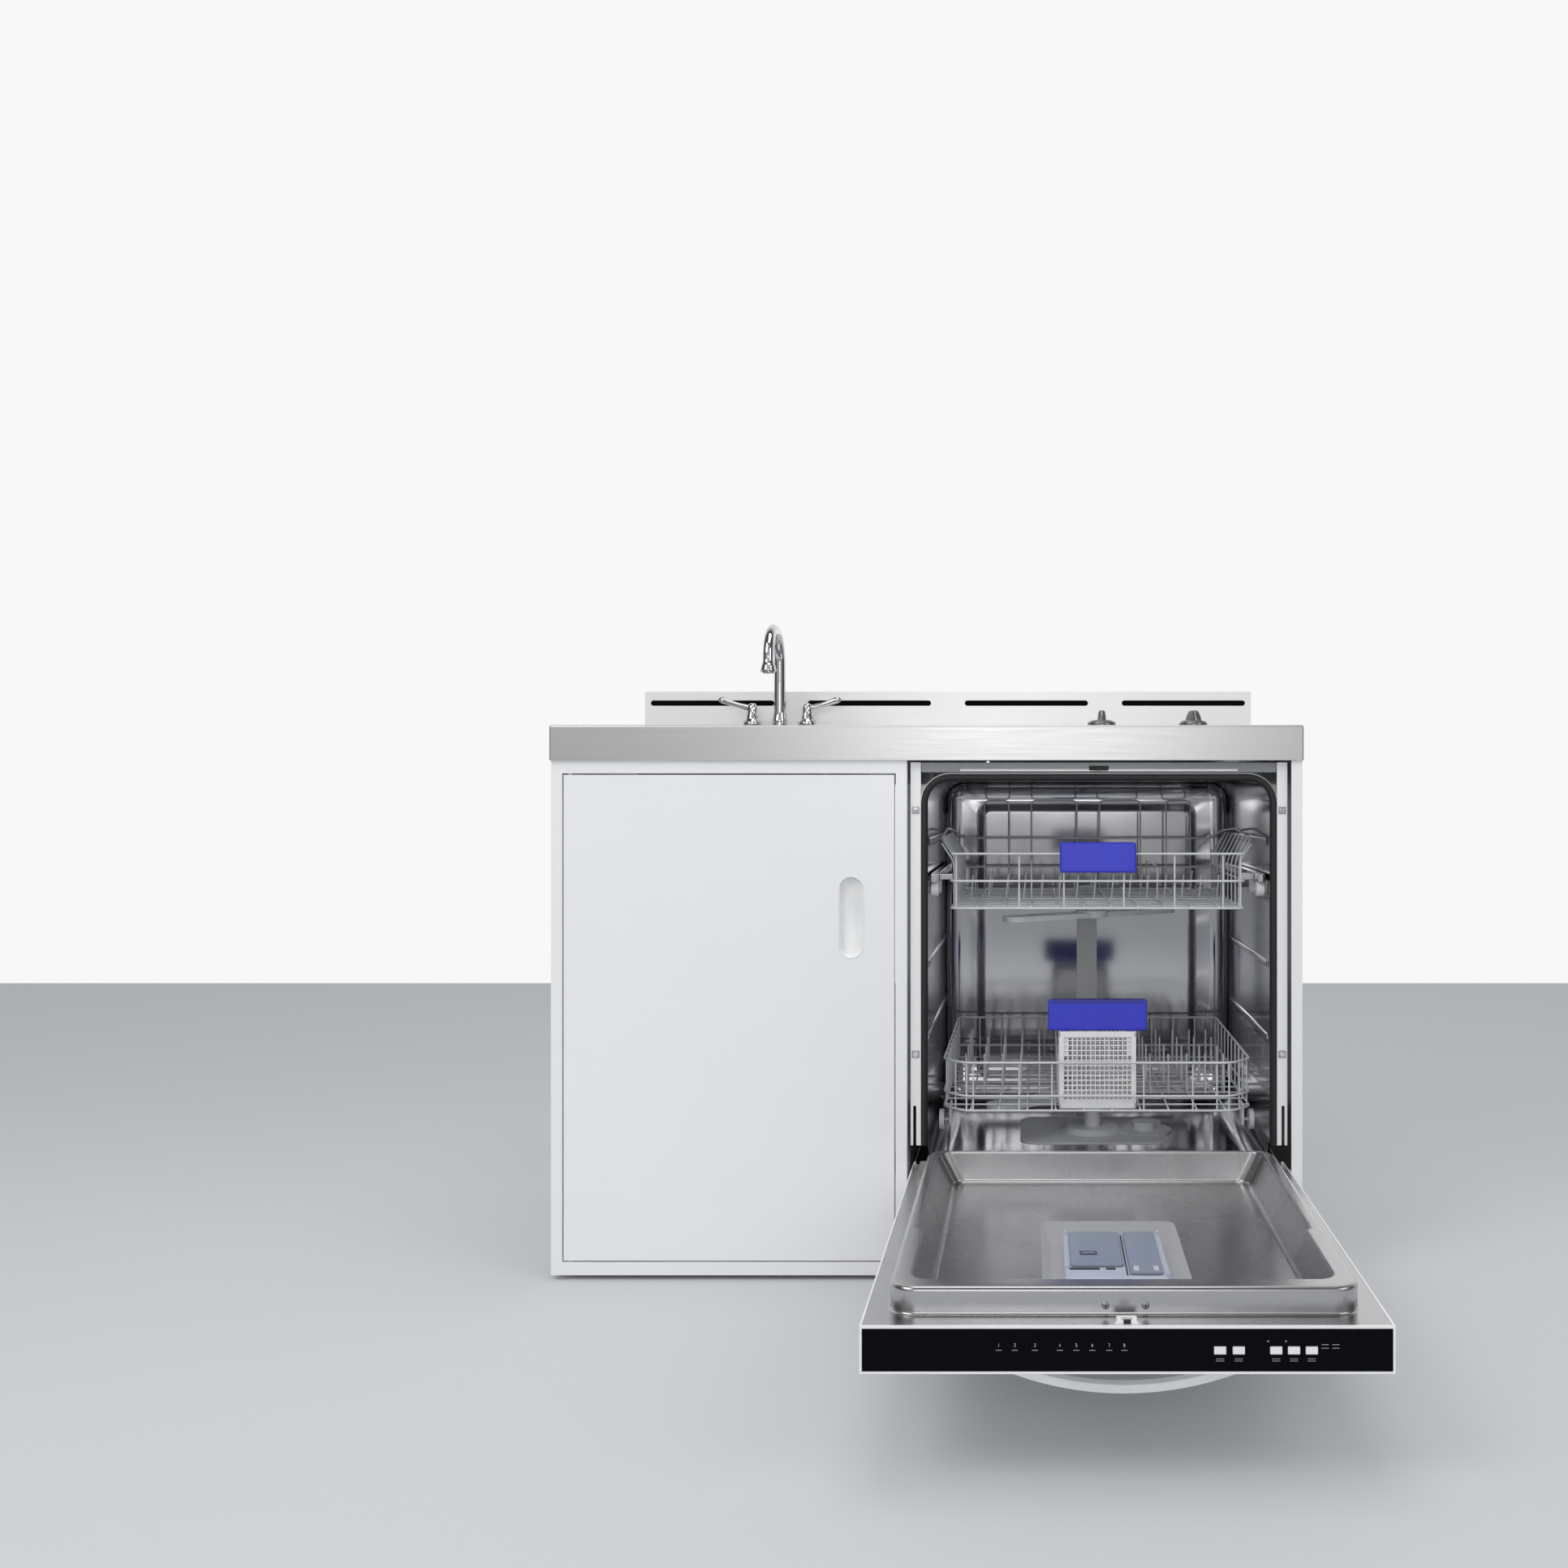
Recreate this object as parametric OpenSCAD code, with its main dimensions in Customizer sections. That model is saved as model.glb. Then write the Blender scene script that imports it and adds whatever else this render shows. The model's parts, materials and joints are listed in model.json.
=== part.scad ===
// Kitchenette: one steel base unit with a sink and faucet on the left, a two-coil hob on
// the right, and a built-in dishwasher below the hob, its door lying open.
// Millimetres. Origin: middle of the wall plane, at floor level. +X right, +Y to the wall, +Z up.

/* [Overall] */
// Width of the worktop
unit_w = 1219; // [1150:1:1400]
// Depth of the worktop, front edge to wall
unit_d = 610; // [590:1:680]
// Height of the worktop surface above the floor
worktop_h = 898; // [880:1:940]
// Height of the worktop's folded front apron
apron_h = 57; // [45:1:70]
// Gap between the floor and the cabinet's lower edge, filled by the feet
foot_h = 8; // [5:1:20]
// Thickness of the stainless sheet
sheet_t = 1.5; // [1:0.1:2.5]

/* [Cabinet] */
// Thickness of the folded side panels and of the partition
panel_t = 18; // [14:1:30]
// Thickness of the painted sheet that the panels are folded from
skin_t = 1.2; // [0.8:0.1:2]
// Height of the front frame's lower and upper rails
rail_h = 21; // [16:1:35]
// Depth of the front frame and of the inset door
frame_t = 16; // [14:1:24]
// Distance from the worktop's front edge back to the front frame
overhang = 6; // [2:1:15]
// Gap round the inset cabinet door
door_gap = 2.5; // [1.5:0.1:5]
// Radius of the cabinet hinge pins
cab_pin_r = 3; // [2:0.5:4]
// Width of the recessed pull
pull_w = 39; // [30:1:60]
// Height of the recessed pull
pull_h = 131; // [90:1:200]
// Depth of the recessed pull
pull_depth = 12; // [6:1:14]

/* [Backsplash] */
// Height of the backsplash above the worktop
splash_h = 95; // [80:1:120]
// Depth of the hollow backsplash
splash_d = 50; // [30:1:60]
// Height of a vent slot
slot_h = 11; // [8:1:16]
// Length of a vent slot
slot_l = 248; // [180:1:270]
// Height of the slots' middle above the worktop
slot_up = 72; // [60:1:76]
// Distance between the middles of two vent slots
slot_pitch = 315.75; // [280:0.25:330]

/* [Sink] */
// Width of the bowl inside
bowl_w = 370; // [300:1:420]
// Depth of the bowl inside, front to back
bowl_l = 320; // [260:1:330]
// Height of the bowl inside
bowl_h = 140; // [100:1:200]
// Corner radius of the bowl
bowl_r = 45; // [25:1:70]
// Outer radius of the drain flange
drain_r = 55; // [45:1:60]
// Outer radius of the drain pipe
pipe_r = 19.05; // [15:0.05:22]

/* [Faucet] */
// Distance of the faucet's holes from the wall
faucet_back = 105; // [95:1:120]
// Distance of each valve from the spout
valve_x = 54; // [50.8:0.1:60]
// Outer radius of the spout tube
spout_r = 11; // [8:0.5:12]
// Radius of the gooseneck's bend
neck_r = 60; // [45:1:75]
// Height of the spout's highest point above the worktop
spout_h = 217; // [190:1:260]
// Height of the spout's mouth above the worktop
mouth_h = 117; // [100:1:140]
// Length of a lever from its valve's axis
lever_l = 64; // [50:1:75]

/* [Hob] */
// Radius of the larger coil
big_coil_r = 92; // [80:1:100]
// Radius of the smaller coil
small_coil_r = 74; // [65:1:80]
// Radius of a coil's tube
coil_tube_r = 3.6; // [3:0.1:4.5]
// Distance of the coils' middle line from the wall
hob_back = 290; // [240:1:330]
// Radius of a knob's skirt
knob_r = 24; // [20:0.5:28]
// Height of a knob
knob_h = 30; // [24:1:36]

/* [Dishwasher] */
// Clear width of the bay that holds the dishwasher
bay_w = 622; // [616:1:640]
// Gap between the dishwasher and each side of the bay
bay_gap = 5; // [3:1:8]
// Gap between the side of the bay and the door
door_side = 9.5; // [8:0.5:13]
// Gap between the shut door and the apron
door_head = 3; // [2:0.5:10]
// Thickness of the door
dw_door_t = 54; // [50:1:60]
// Height from the tub's ceiling to the apron's lower edge
tub_head = 31; // [31:1:50]
// Distance from the side of the bay to the tub's inner wall
tub_side = 31; // [29:1:40]
// Thickness of the tub's walls
tub_t = 3; // [2:0.5:5]
// Height of the liner's rim above the door's inner plane
rim_h = 32; // [24:1:36]
// Radius of the door's hinge pins
pin_r = 4; // [3:0.5:5]
// Radial clearance of pins, wheels and shafts
run_c = 0.05; // [0.03:0.01:0.09]
// Thickness of a rack's wires
wire = 4; // [3:0.5:5]
// Pitch of the wires
wire_pitch = 46; // [30:1:60]
// Travel of the two racks
rack_out = 400; // [300:5:420]
// Radius of the lower rack's wheels
wheel_r = 17; // [14:1:19]

/* [Hidden] */
$fn = 48;

// Clearance between faces that lie against each other on different pieces
seat = 0.3;
// How far a cutting tool runs past the face that it cuts
over = 1;

// Carcass
half_w = unit_w/2;
side_x = half_w - sheet_t;                    // outer face of the side panels
front_y = -unit_d;                            // worktop's front edge
frame_y = front_y + overhang;                 // front face of the frame and the cabinet door
deck_z = worktop_h - sheet_t;                 // underside of the worktop sheet
apron_z = worktop_h - apron_h;                // lower edge of the apron
bay_x1 = side_x - panel_t;
bay_x0 = bay_x1 - bay_w;
cab_x0 = -side_x + panel_t;                   // cabinet opening, left
cab_x1 = bay_x0 - panel_t;                    // cabinet opening, right
opening_z0 = foot_h + rail_h;
opening_z1 = apron_z - rail_h;
rear_rail_h = 90;
rear_rail_t = 15;
floor_z = opening_z0 - skin_t;
hinge_in = [9, 6.5];                          // hinge axis from the door's edge and front
hinge_x = cab_x0 + door_gap + hinge_in.x;
hinge_y = frame_y + hinge_in.y;
hinge_deep = 15;                              // how far a hinge pin enters the door

// Sink and faucet
sink_off = -8;                                // sink and faucet, from the cabinet's middle
sink_x = (cab_x0 + cab_x1)/2 + sink_off;
sink_y = -(faucet_back + 55 + bowl_l/2);
bowl_z = worktop_h - bowl_h;                  // bowl floor, upper face
faucet_y = -faucet_back;
valve_r = 18;
spout_base_r = 15;
shank_r = 9;
tail_r = 10.48;                               // half-inch thread
tail_len = 28;
tail_z = worktop_h - 100;
pipe_hole = [170, 70];                        // cut-out in the cabinet floor for the pipes
deck_hole_r = 12;

// Hob
hob_y = -hob_back;
coil_r = [big_coil_r, small_coil_r];
coil_at = [0.4646, 0.8119];                   // the coils' middles, as shares of the bay's width
knob_at = [0.5145, 0.7637];                   // the knobs' middles, likewise
coil_x = [for (f = coil_at) bay_x0 + f*bay_w];
knob_x = [for (f = knob_at) bay_x0 + f*bay_w];
knob_y = front_y + 110;
trim_w = 14;                                  // drip bowl's rim past the coil
drip_depth = 26;
shaft_r = 3;
coil_z = worktop_h + 4 + coil_tube_r;

// Dishwasher, closed part
dw_x = (bay_x0 + bay_x1)/2;                   // its middle
dw_half = bay_w/2 - bay_gap;
pivot_y = front_y - 14;                       // axis of the door's hinges
pivot_z = 162;
pivot_in = 26;                                // door's inner plane from the axis, when closed
inner_y = pivot_y + pivot_in;                 // plane of the closed door's inner face
gasket_t = 7.5;
tub_x = bay_w/2 - tub_side;                   // half the tub's width inside
gasket_in = tub_x - 2;
gasket_w = 11;
flange_y = inner_y + seat + gasket_t;         // front plane of the tub's flange
tub_z0 = 172;                                 // tub floor, upper face
tub_z1 = apron_z - tub_head;
tub_y0 = flange_y + 22;                       // tub floor's front end, clear of the door's heel
tub_y1 = -45;                                 // tub's back wall, front face
gasket_r = 38;
strip_in = gasket_in + gasket_w + seat;
strip_z0 = 216;
strip_z1 = apron_z - 3;
strip_t = 2;
strip_head = 2.5;                             // height of its screws' heads
strip_y = inner_y + 2*seat + strip_head;      // front of the strips, clear of the shut door
head_z = tub_z1 + gasket_w + 1;               // lower edge of the flange above the gasket
track_z = pivot_z + pivot_in + rim_h;         // level on which the lower rack rolls
track_w = 26;
chassis_z0 = 22;
chassis_y0 = pivot_y + 52;
sump_y = (tub_y0 + tub_y1)/2;
arm_y = sump_y;                               // axis of both spray arms

// Dishwasher, door: it lies open, its inner face up
door_z1 = pivot_z + pivot_in;                 // inner plane
door_z0 = door_z1 - dw_door_t;                // outer face
heel = 40;                                    // hinge end, behind the axis
door_y1 = pivot_y + heel;
dw_door_l = apron_z - door_head - pivot_z + heel;
door_y0 = door_y1 - dw_door_l;                // handle end
door_skin = 1.2;
border = 3;                                   // white edge round the fascia
fascia_t = 2;
liner_half = gasket_in - 5;
liner_y0 = door_y0 + 34;
liner_y1 = pivot_y - 16;
liner_r = 32;
rim_w = 24;
well_z = door_z1 - 15;                        // upper face of the well's floor
disp_y = door_y0 + 255;                       // middle of the dispenser
disp_w = 133;
disp_l = 180;
disp_top = well_z + 12;
lid_w = [70, 46];                             // detergent lid and rinse lid
button = [13.5, 8.5];
button_x = [104, 125, 167, 187, 207];
button_travel = 1;
button_proud = button_travel + 0.4;
dw_door_w = bay_w - 2*door_side;
handle_half = dw_door_w/2 - 143.5;            // bow handle, half its inner span
handle_drop = 45;                             // how far it stands off the door
handle_y = door_y0 + 62;
handle_t = 10;
handle_wide = 14;
arm_x = dw_door_w/2 - door_skin;              // outer face of the hinge arms
arm_t = 2.5;
bracket_x = arm_x - arm_t - seat;             // outer face of the hinge brackets
bracket_t = 4;
bracket_r = 12;                               // a bracket's eye, and its reach below the pin
notch_c = 2;                                  // clearance of a bracket in the liner's notch

// Racks: flat wire panels that stand a hair apart
hair = 0.2;
upper_half = tub_x - 35;
upper_back = 45;                              // gap behind the upper rack
upper_z0 = tub_z1 - 214;                      // upper rack's floor, middle of the wires
upper_z1 = upper_z0 + 94;
rack_y0 = inner_y + rim_h + 6;                // front of both racks, clear of the liner
upper_len = tub_y1 - upper_back - rack_y0;
roller_r = 12;
rail_z = upper_z0 + 52;                       // middle of the upper rack's side rails
rail_h2 = 14;
roller_y = [rack_y0 + 20, rack_y0 + 90];
roller_w = 12;
lower_half = tub_x - 22;
lower_cham = 36;                              // its front corners are cut off by this
lower_back = 35;                              // gap behind the lower rack
lower_len = tub_y1 - lower_back - rack_y0;
tine_y = 130;                                 // its first row of tines, from the front
tine_gap = 85;                                // distance between the rows
tine_h = 70;
lower_z0 = 262;
lower_z1 = 345;
wheel_w = 8;
wheel_x = liner_half - rim_w/2;               // middle of a wheel, on the rim
wheel_y = [rack_y0 + 60, rack_y0 + lower_len - 60];
axle_r = 3.5;
wheel_in = wheel_x - 17;                      // inner face of the wheels' brackets
basket = [128, 76, 127];                      // cutlery basket
basket_y = rack_y0 + 12;
basket_z = lower_z0 + wire/2 + 1;
basket_t = 2.4;
arm_r_low = tub_x - 55;
arm_r_up = upper_half - 55;
arm_hub_low = 238;                            // underside of the lower spray arm
arm_hub_up = upper_z0 - 26;
screw_hole_r = 3.5;                           // wall screws, through the upper rear rail
screw_half = 200;
cup_d = 30;                                   // strainer cup
tail_l = 95;                                  // tailpiece below the bowl's floor
trap_r = 40;                                  // bend of the trap
trap_z = bowl_z - tail_l - 40;
pipe_z = worktop_h - 60;                      // pipe between the valves
base_h = 40;                                  // valve base above the worktop
stem_r = 5;                                   // valve and spout stems
stem_l = 14;
hub_h = 28;
spout_seat = 30;
spout_stem = 40;
shaft_deep = 22;
terminal_x = 9;                               // half the distance between a coil's terminals
switch_box = [40, 36, 26];
underbox_c = 6;                               // hob box, clear of the drip bowls
underbox_front = 28;                          // its front, before the knobs' axis
underbox_back = 50;                           // its back, behind the larger drip bowl
leg_z = deck_z - 9;
function socket_y(i) = hob_y + coil_r[i] + trim_w + 4;
pull_side = 70;                               // the pull's middle from the door's edge
pull_drop = 233;                              // and from the top of the opening
pull_x = cab_x1 - door_gap - pull_side;
pull_z = opening_z1 - pull_drop;
sump_off = 95;                                // sump cup, to the right of the spray arm's post
sump_r = 42;
post_r = 9;                                   // both spray arms turn on posts of this radius
roller_z = rail_z - rail_h2/2 - seat - roller_r;
screw_x = (strip_in + dw_half)/2;
screw_z = [strip_z0 + 148, strip_z1 - 78];    // screws of the strips
screw_r = 2;
chassis_z1 = tub_z0 - tub_t;
inlet_x = 180;                                // water inlet and drain outlet, at the back
inlet_r = 13.2;
outlet_x = -180;
outlet_r = 9.5;
port_z = 90;
port_block = [36, 22];                        // width and depth of a port's support
port_in = 38;                                 // its back face, in front of the tub's back wall
riser = [40, 14];                             // width and depth of the duct up the back wall
nozzle_l = 12;                                // its outlet, which enters the rack's feed pipe
sump_plate = [260, 200, 2];
feed_z = arm_hub_up + 14;
feed_half = 9;                                // half the feed pipe's width
blade_t = 9;                                  // thickness of a spray arm's blades
arm_hub_h = 12;                               // height of its hub
arm_z_up = feed_z - feed_half - seat - arm_hub_h; // underside of the upper arm
post_flange = 3;                              // flange that holds the upper arm on its post
button_c = 0.3;
lid_y = [-50, -80];                           // handle ends of the two lids, from disp_y
lid_end = 84;                                 // their other ends
chamber_y = [-44, 76];                        // detergent chamber
latch_y = [door_y0 + 4, door_y0 + 17];        // latch, on the flange past the liner
latch_h = 6;
latch_wall = 2;
strike_z = pivot_z + pivot_y - (latch_y[0] + latch_y[1])/2; // latch's middle, door shut
lid_pin_r = 1.5;
lid_hinge_x = disp_w/2 - 3.5;
lid_hinge_z = disp_top + 3;
rail_x0 = tub_x - 4 - roller_w;
rail_hold = 75;                               // part of the rail inside when the rack is out
rail_len = rack_out + rail_hold;
rear_strip_t = 3;
port_l = 25;

// ---------- Shapes that repeat ----------

// A block between two opposite corners
module block(lo, hi) { translate(lo) cube(hi - lo); }

// A rounded plate, its corner radius r, centred in X and Y
module plate(w, l, h, r) {
    linear_extrude(h) hull()
        for (x = [-1, 1], y = [-1, 1]) translate([x*(w/2 - r), y*(l/2 - r)]) circle(r, $fn = 32);
}

// A folded sheet panel standing in the YZ plane, its hollow side facing dir (+1 or -1 along X)
module folded_panel(lo, hi, dir) {
    difference() {
        block(lo, hi);
        block([dir > 0 ? lo.x + skin_t : lo.x - over, lo.y + skin_t, lo.z + skin_t],
              [dir > 0 ? hi.x + over : hi.x - skin_t, hi.y - skin_t, hi.z - skin_t]);
    }
}

// A straight rod between two points of one axis direction: d is [1,0,0], [0,1,0] or [0,0,1]
module rod(p, d, len, r) {
    translate(p) rotate(d.x != 0 ? [0, 90, 0] : d.y != 0 ? [-90, 0, 0] : [0, 0, 0])
        cylinder(h = len, r = r);
}

// ---------- Carcass ----------

module left_side_panel() {
    color("white") folded_panel([-side_x, frame_y + frame_t, foot_h], [cab_x0, 0, deck_z], 1);
}

module right_side_panel() {
    color("white") folded_panel([bay_x1, frame_y, foot_h], [side_x, 0, deck_z], -1);
}

module centre_partition() {
    color("white") folded_panel([cab_x1, frame_y + frame_t, foot_h], [bay_x0, 0, deck_z], -1);
}

// Floor of the sink cabinet, cut out below the faucet's tails and turned up at the back
module cabinet_floor() {
    color("white") {
        difference() {
            block([cab_x0, frame_y + frame_t, floor_z], [cab_x1, 0, opening_z0]);
            block([sink_x - pipe_hole.x/2, faucet_y - pipe_hole.y/2, floor_z - over],
                  [sink_x + pipe_hole.x/2, faucet_y + pipe_hole.y/2, opening_z0 + over]);
        }
        block([cab_x0, -skin_t, opening_z0], [cab_x1, 0, opening_z0 + 25]);
    }
}

// Front frame round the inset door: a channel ring, open at the back, with the hinge pins
module face_frame() {
    w0 = [-side_x, foot_h];
    w1 = [bay_x0, apron_z];
    color("white") {
        difference() {
            block([w0.x, frame_y, w0.y], [w1.x, frame_y + frame_t, w1.y]);
            block([cab_x0, frame_y - over, opening_z0],
                  [cab_x1, frame_y + frame_t + over, opening_z1]);
            difference() {
                block([w0.x + skin_t, frame_y + skin_t, w0.y + skin_t],
                      [w1.x - skin_t, frame_y + frame_t + over, w1.y - skin_t]);
                block([cab_x0 - skin_t, frame_y - over, opening_z0 - skin_t],
                      [cab_x1 + skin_t, frame_y + frame_t + 2*over, opening_z1 + skin_t]);
            }
        }
        for (z = [opening_z0 - 5, opening_z1 + 5 - hinge_deep - door_gap - 5])
            rod([hinge_x, hinge_y, z], [0, 0, 1], hinge_deep + door_gap + 5, cab_pin_r);
    }
}

// Upper rails at the wall, drilled for its screws, and the strip on the floor behind the bay
module rear_rails() {
    color("white") {
        for (bay = [[cab_x0, cab_x1], [bay_x0, bay_x1]])
            difference() {
                block([bay[0], -rear_rail_t, deck_z - rear_rail_h], [bay[1], 0, deck_z]);
                block([bay[0] - over, -rear_rail_t - over, deck_z - rear_rail_h + skin_t],
                      [bay[1] + over, -skin_t, deck_z - skin_t]);
                for (s = [-1, 1])
                    rod([(bay[0] + bay[1])/2 + s*screw_half, -rear_rail_t - over,
                         deck_z - rear_rail_h/2], [0, 1, 0], rear_rail_t + 2*over, screw_hole_r);
            }
        block([bay_x0, -rear_strip_t, 0], [bay_x1, 0, foot_h + 60]);
    }
}

// Feet of the cabinet and of the dishwasher: a stem and a pad each
module levelling_feet() {
    pad_r = 15;
    color("dimgray") {
        for (x = [-side_x + panel_t/2, cab_x1 + panel_t/2, bay_x1 + panel_t/2],
             y = [frame_y + 60, -60])
            translate([x, y, 0]) cylinder(h = foot_h, r = panel_t/2 - 1);
        for (x = [dw_x - dw_half + 40, dw_x + dw_half - 40], y = [chassis_y0 + 50, tub_y1 - 30])
            translate([x, y, 0]) {
                cylinder(h = 6, r = pad_r);
                cylinder(h = chassis_z0, r = 5);
            }
    }
}

// ---------- Worktop, sink and drain ----------

module worktop() {
    cut_r = [for (r = coil_r) r + trim_w - 6];
    color("silver") difference() {
        union() {
            block([-half_w, front_y, deck_z], [half_w, 0, worktop_h]);
            block([-half_w, front_y, apron_z], [half_w, front_y + sheet_t, worktop_h]);
            block([-half_w, front_y, apron_z], [half_w, frame_y - seat, apron_z + sheet_t]);
            for (x = [-half_w, half_w - sheet_t])
                block([x, front_y, apron_z], [x + sheet_t, 0, worktop_h]);
        }
        translate([sink_x, sink_y, deck_z - over]) plate(bowl_w, bowl_l, sheet_t + 2*over, bowl_r);
        for (x = [sink_x - valve_x, sink_x, sink_x + valve_x])
            rod([x, faucet_y, deck_z - over], [0, 0, 1], sheet_t + 2*over, deck_hole_r);
        for (i = [0, 1]) {
            rod([coil_x[i], hob_y, deck_z - over], [0, 0, 1], sheet_t + 2*over, cut_r[i]);
            rod([knob_x[i], knob_y, deck_z - over], [0, 0, 1], sheet_t + 2*over, shaft_r + 2);
        }
    }
}

// Hollow backsplash with four round-ended vent slots in its front
module backsplash() {
    color("silver") difference() {
        block([-half_w, -splash_d, worktop_h], [half_w, 0, worktop_h + splash_h]);
        block([-half_w + sheet_t, -splash_d + sheet_t, worktop_h - over],
              [half_w - sheet_t, -sheet_t, worktop_h + splash_h - sheet_t]);
        for (i = [-1.5:1:1.5])
            translate([i*slot_pitch, -splash_d - over, worktop_h + slot_up])
                rotate([-90, 0, 0]) linear_extrude(sheet_t + 2*over) {
                    square([slot_l - slot_h, slot_h], center = true);
                    for (s = [-1, 1]) translate([s*(slot_l - slot_h)/2, 0]) circle(slot_h/2);
                }
    }
}

module sink_bowl() {
    flange = 12;
    color("silver") translate([sink_x, sink_y, 0]) difference() {
        union() {
            translate([0, 0, deck_z - sheet_t])
                plate(bowl_w + 2*flange, bowl_l + 2*flange, sheet_t, bowl_r + flange);
            translate([0, 0, bowl_z - sheet_t])
                plate(bowl_w + 2*sheet_t, bowl_l + 2*sheet_t, deck_z - bowl_z, bowl_r + sheet_t);
        }
        translate([0, 0, bowl_z]) plate(bowl_w, bowl_l, bowl_h + over, bowl_r);
        translate([0, 0, bowl_z - sheet_t - over])
            cylinder(h = sheet_t + 2*over, r = drain_r - 12);
    }
}

// Flange in the bowl's floor, with the cup that the strainer sits in and its tailpiece
module drain_flange() {
    cup_r = drain_r - 12 - seat;
    color("silver") translate([sink_x, sink_y, 0]) rotate_extrude() polygon([
        [pipe_r - 2, bowl_z - tail_l], [pipe_r, bowl_z - tail_l], [pipe_r, bowl_z - cup_d],
        [cup_r, bowl_z - cup_d], [cup_r, bowl_z], [drain_r, bowl_z], [drain_r, bowl_z + 1],
        [cup_r - 2, bowl_z + 2], [cup_r - 2, bowl_z - cup_d + 2],
        [pipe_r - 2, bowl_z - cup_d + 2]]);
}

// Lift-out strainer with its knob
module strainer_basket() {
    r = drain_r - 12 - seat - 2;
    z = bowl_z - cup_d + 2 + seat;
    color("silver") translate([sink_x, sink_y, 0]) difference() {
        union() {
            difference() {
                translate([0, 0, z]) cylinder(h = 20, r = r - 6);
                translate([0, 0, z + 1.5]) cylinder(h = 20, r = r - 7.5);
            }
            difference() {
                translate([0, 0, bowl_z + 2 + seat]) cylinder(h = 1.5, r = r + 3);
                translate([0, 0, bowl_z]) cylinder(h = 10, r = r - 7.5);
            }
            difference() {
                translate([0, 0, z + 19]) cylinder(h = bowl_z + 3 + seat - z - 19, r = r - 6);
                translate([0, 0, z]) cylinder(h = 60, r = r - 7.5);
            }
            translate([0, 0, z]) cylinder(h = 34, r = 3);
            translate([0, 0, z + 34]) cylinder(h = 6, r = 9);
        }
        for (a = [0:45:315]) rotate(a) translate([r*0.55, 0, z - over]) cylinder(h = 4, r = 3);
    }
}

// P-trap from the tailpiece to the wall
module drain_trap() {
    wall = 2.5;
    r1 = pipe_r;
    module bore_pipe(p, d, len) {
        difference() {
            rod(p, d, len, r1);
            rod(p - over*d, d, len + 2*over, r1 - wall);
        }
    }
    module bend(c, from, sweep) {
        translate(c) rotate([0, 90, 0]) rotate(from) rotate_extrude(angle = sweep)
            translate([trap_r, 0]) difference() { circle(r1); circle(r1 - wall); }
    }
    color("whitesmoke") {
        bore_pipe([sink_x, sink_y, trap_z], [0, 0, 1], bowl_z - tail_l - trap_z);
        bend([sink_x, sink_y + trap_r, trap_z], -90, 180);
        bore_pipe([sink_x, sink_y + 2*trap_r, trap_z], [0, 0, 1], 20);
        bend([sink_x, sink_y + 3*trap_r, trap_z + 20], 180, 90);
        bore_pipe([sink_x, sink_y + 3*trap_r, trap_z + 20 + trap_r], [0, 1, 0],
                  -sink_y - 3*trap_r - 10);
        for (p = [[sink_y, trap_z + 8], [sink_y + 2*trap_r, trap_z]])
            translate([sink_x, p.x, p.y]) difference() {
                cylinder(h = 18, r = r1 + 5, $fn = 12);
                translate([0, 0, -over]) cylinder(h = 18 + 2*over, r = r1 - wall);
            }
    }
}

// ---------- Faucet ----------

// Fixed part: three deck bases, their threaded tails with nuts, and the pipe that joins them
module faucet_base() {
    color("silver") {
        for (s = [-1, 1]) translate([sink_x + s*valve_x, faucet_y, 0]) {
            translate([0, 0, worktop_h]) rotate_extrude() polygon([
                [0, 0], [valve_r, 0], [valve_r, 3], [valve_r - 2, 6],
                [valve_r - 2, base_h - 20], [valve_r, base_h - 15], [valve_r, base_h - 9],
                [valve_r - 6, base_h - 4], [valve_r - 6, base_h], [stem_r, base_h],
                [stem_r, base_h + stem_l], [0, base_h + stem_l]]);
            translate([0, 0, tail_z]) cylinder(h = tail_len, r = tail_r);
            translate([0, 0, tail_z]) cylinder(h = worktop_h - tail_z, r = shank_r);
            translate([0, 0, deck_z - 8]) cylinder(h = 8, r = valve_r, $fn = 6);
        }
        translate([sink_x, faucet_y, 0]) difference() {
            union() {
                translate([0, 0, worktop_h]) rotate_extrude() polygon([
                    [0, 0], [spout_base_r + 3, 0], [spout_base_r + 3, 3],
                    [spout_base_r, 6], [spout_base_r, spout_seat],
                    [0, spout_seat]]);
                translate([0, 0, pipe_z]) cylinder(h = worktop_h - pipe_z, r = shank_r);
                translate([0, 0, deck_z - 8]) cylinder(h = 8, r = valve_r, $fn = 6);
            }
            translate([0, 0, worktop_h + spout_seat - spout_stem])
                cylinder(h = spout_stem + over, r = stem_r + run_c);
        }
        rod([sink_x - valve_x, faucet_y, pipe_z], [1, 0, 0], 2*valve_x, 6);
    }
}

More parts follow.
